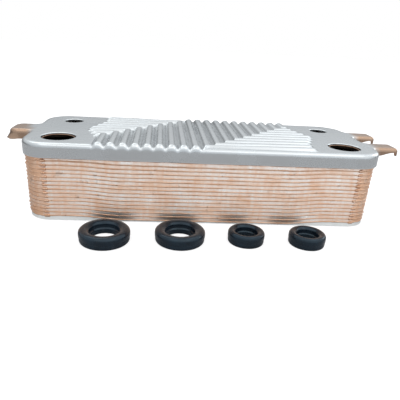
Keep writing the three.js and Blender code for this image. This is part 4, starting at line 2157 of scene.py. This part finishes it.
@dataclass(frozen=True)
class SoftLight:
    """A large soft lamp that is aimed at the exchanger. In metres and watts."""

    name: str
    place: tuple[float, float, float]
    size: tuple[float, float]
    power: float
    tint: tuple[float, float, float] = (1.0, 1.0, 1.0)


@dataclass
class Studio:
    """The camera, the lamps, the surroundings and the floor."""

    sizes: NestSizes
    camera: CameraPlace = CameraPlace()
    lights: tuple[SoftLight, ...] = (
        SoftLight("overhead", (0.0, -0.16, 0.75), (1.0, 0.75), 1.7),
        SoftLight("left_window", (-0.35, 0.55, 0.75), (0.7, 0.4), 1.0, (0.96, 1.0, 1.0)),
        SoftLight("right_window", (0.9, 0.45, 0.40), (0.5, 0.5), 1.2, (0.90, 0.96, 1.0)),
    )
    room_bands: tuple[tuple[float, float], ...] = (
        (0.0, 0.10), (0.14, 0.24), (0.26, 0.84), (0.5, 0.95), (0.74, 1.15), (0.88, 1.1), (1.0, 0.45)
    )
    room_tint: tuple[float, float, float] = (0.97, 1.0, 1.03)
    front_wall: Colour = (0.86, 0.91, 0.96, 1.0)
    front_fade: tuple[float, float] = (0.3, -0.6)
    front_height: tuple[float, float] = (0.5, 0.05)
    side_fade: tuple[float, float] = (-0.6, 0.6)
    left_strength: float = 0.94
    right_gain: float = 0.27
    floor_half: float = 3.0
    floor_drop: float = 0.02 * MM

    def build(self, shop: Workshop) -> None:
        """Builds the whole studio.

        Args:
            shop: the workshop.
        """
        self.build_camera()
        for light in self.lights:
            self.build_light(light)
        self.build_surroundings()
        self.build_floor(shop)
        bpy.context.scene.view_settings.view_transform = "Standard"

    def build_camera(self) -> None:
        """Places the camera."""
        place = self.camera
        yaw, pitch, roll = (math.radians(value) for value in (place.yaw, place.pitch, place.roll))
        ahead = Vector((math.sin(yaw) * math.cos(pitch), math.cos(yaw) * math.cos(pitch), -math.sin(pitch)))
        level = Vector((math.cos(yaw), -math.sin(yaw), 0))
        upright = level.cross(ahead)
        right = level * math.cos(roll) + upright * math.sin(roll)
        up = upright * math.cos(roll) - level * math.sin(roll)
        data = bpy.data.cameras.new("camera")
        data.lens, data.sensor_width = place.lens, 36.0
        data.shift_x, data.shift_y = place.shift_x, place.shift_y
        data.clip_start = 0.005
        made = bpy.data.objects.new("camera", data)
        turned = Matrix((right, up, -ahead)).transposed().to_4x4()
        at = Vector((place.x * MM, place.y * MM, self.sizes.top + place.above_ports * MM))
        made.matrix_world = Matrix.Translation(at) @ turned
        bpy.context.scene.collection.objects.link(made)
        bpy.context.scene.camera = made

    def build_light(self, light: SoftLight) -> None:
        """Places one lamp.

        Args:
            light: the lamp.
        """
        data = bpy.data.lights.new(light.name, "AREA")
        data.shape = "RECTANGLE"
        data.size, data.size_y = light.size
        data.energy = light.power
        data.color = light.tint
        made = bpy.data.objects.new(light.name, data)
        made.location = light.place
        made.rotation_euler = (-Vector(light.place)).to_track_quat("-Z", "Y").to_euler()
        bpy.context.scene.collection.objects.link(made)

    def build_surroundings(self) -> None:
        """Makes the background white, and a soft grey room for the reflections."""
        world = bpy.data.worlds.new("studio")
        bpy.context.scene.world = world
        world.use_nodes = True
        wiring = Wiring(world.node_tree)
        nodes = world.node_tree.nodes
        room = nodes["Background"]
        way = wiring.node("ShaderNodeTexCoord").outputs["Generated"]
        split = wiring.node("ShaderNodeSeparateXYZ", {0: way})
        ramp = wiring.node("ShaderNodeValToRGB", {0: split.outputs[2]})
        elements = ramp.color_ramp.elements
        for index, (height, level) in enumerate(self.room_bands):
            element = elements[index] if index < 2 else elements.new(height)
            element.position = height
            element.color = (*(level * share for share in self.room_tint), 1.0)
        front = wiring.term(split.outputs[1]).smooth_step(*self.front_fade)
        low = wiring.term(split.outputs[2]).smooth_step(*self.front_height)
        lit = wiring.mix(front * low, ramp.outputs[0], self.front_wall)
        wiring.feed(room.inputs["Color"], lit)
        side = wiring.term(split.outputs[0]).smooth_step(*self.side_fade)
        wiring.feed(room.inputs["Strength"], side * self.right_gain + self.left_strength)
        white = wiring.node("ShaderNodeBackground", {"Color": (1.0, 1.0, 1.0, 1.0), "Strength": 1.0})
        rays = wiring.node("ShaderNodeLightPath")
        plain = wiring.term(rays.outputs["Is Camera Ray"]) + wiring.term(rays.outputs["Is Diffuse Ray"])
        both = wiring.node("ShaderNodeMixShader",
                           {0: plain.clipped(), 1: room.outputs[0], 2: white.outputs[0]})
        wiring.feed(nodes["World Output"].inputs["Surface"], both.outputs[0])

    def build_floor(self, shop: Workshop) -> None:
        """Lays the floor just under the object.

        Args:
            shop: the workshop.
        """
        half, low = self.floor_half, -self.floor_drop
        corners = [(-half, -half, low), (half, -half, low), (half, half, low), (-half, half, low)]
        mesh = bpy.data.meshes.new("floor")
        mesh.from_pydata(corners, [], [(0, 1, 2, 3)])
        mesh.materials.append(shop.paint.material(Finish.FLOOR))
        made = bpy.data.objects.new("floor", mesh)
        bpy.context.scene.collection.objects.link(made)


# ----------------------------------------------------------------------------------------------------


def main() -> None:
    """Builds the studio, the exchanger and its seals."""
    logging.basicConfig(level=logging.INFO, format="%(message)s")
    shop = Workshop(Paintbox())
    sizes, ports = NestSizes.read(), Ports()
    Studio(sizes).build(shop)
    ribs = rib_tree()
    CoverPlate(sizes, ports).build(shop, ribs)
    nest = PlateNest(sizes, ports)
    nest.build(shop, ribs)
    BrazeBeads(sizes, nest).build(shop, bead_tree())
    PortBraze(sizes, ports).build(shop, ring_stack_tree())
    for size in SealSize:
        for side in ("left", "right"):
            PortSeal(size, side).build(shop)


if __name__ == "__main__":
    main()
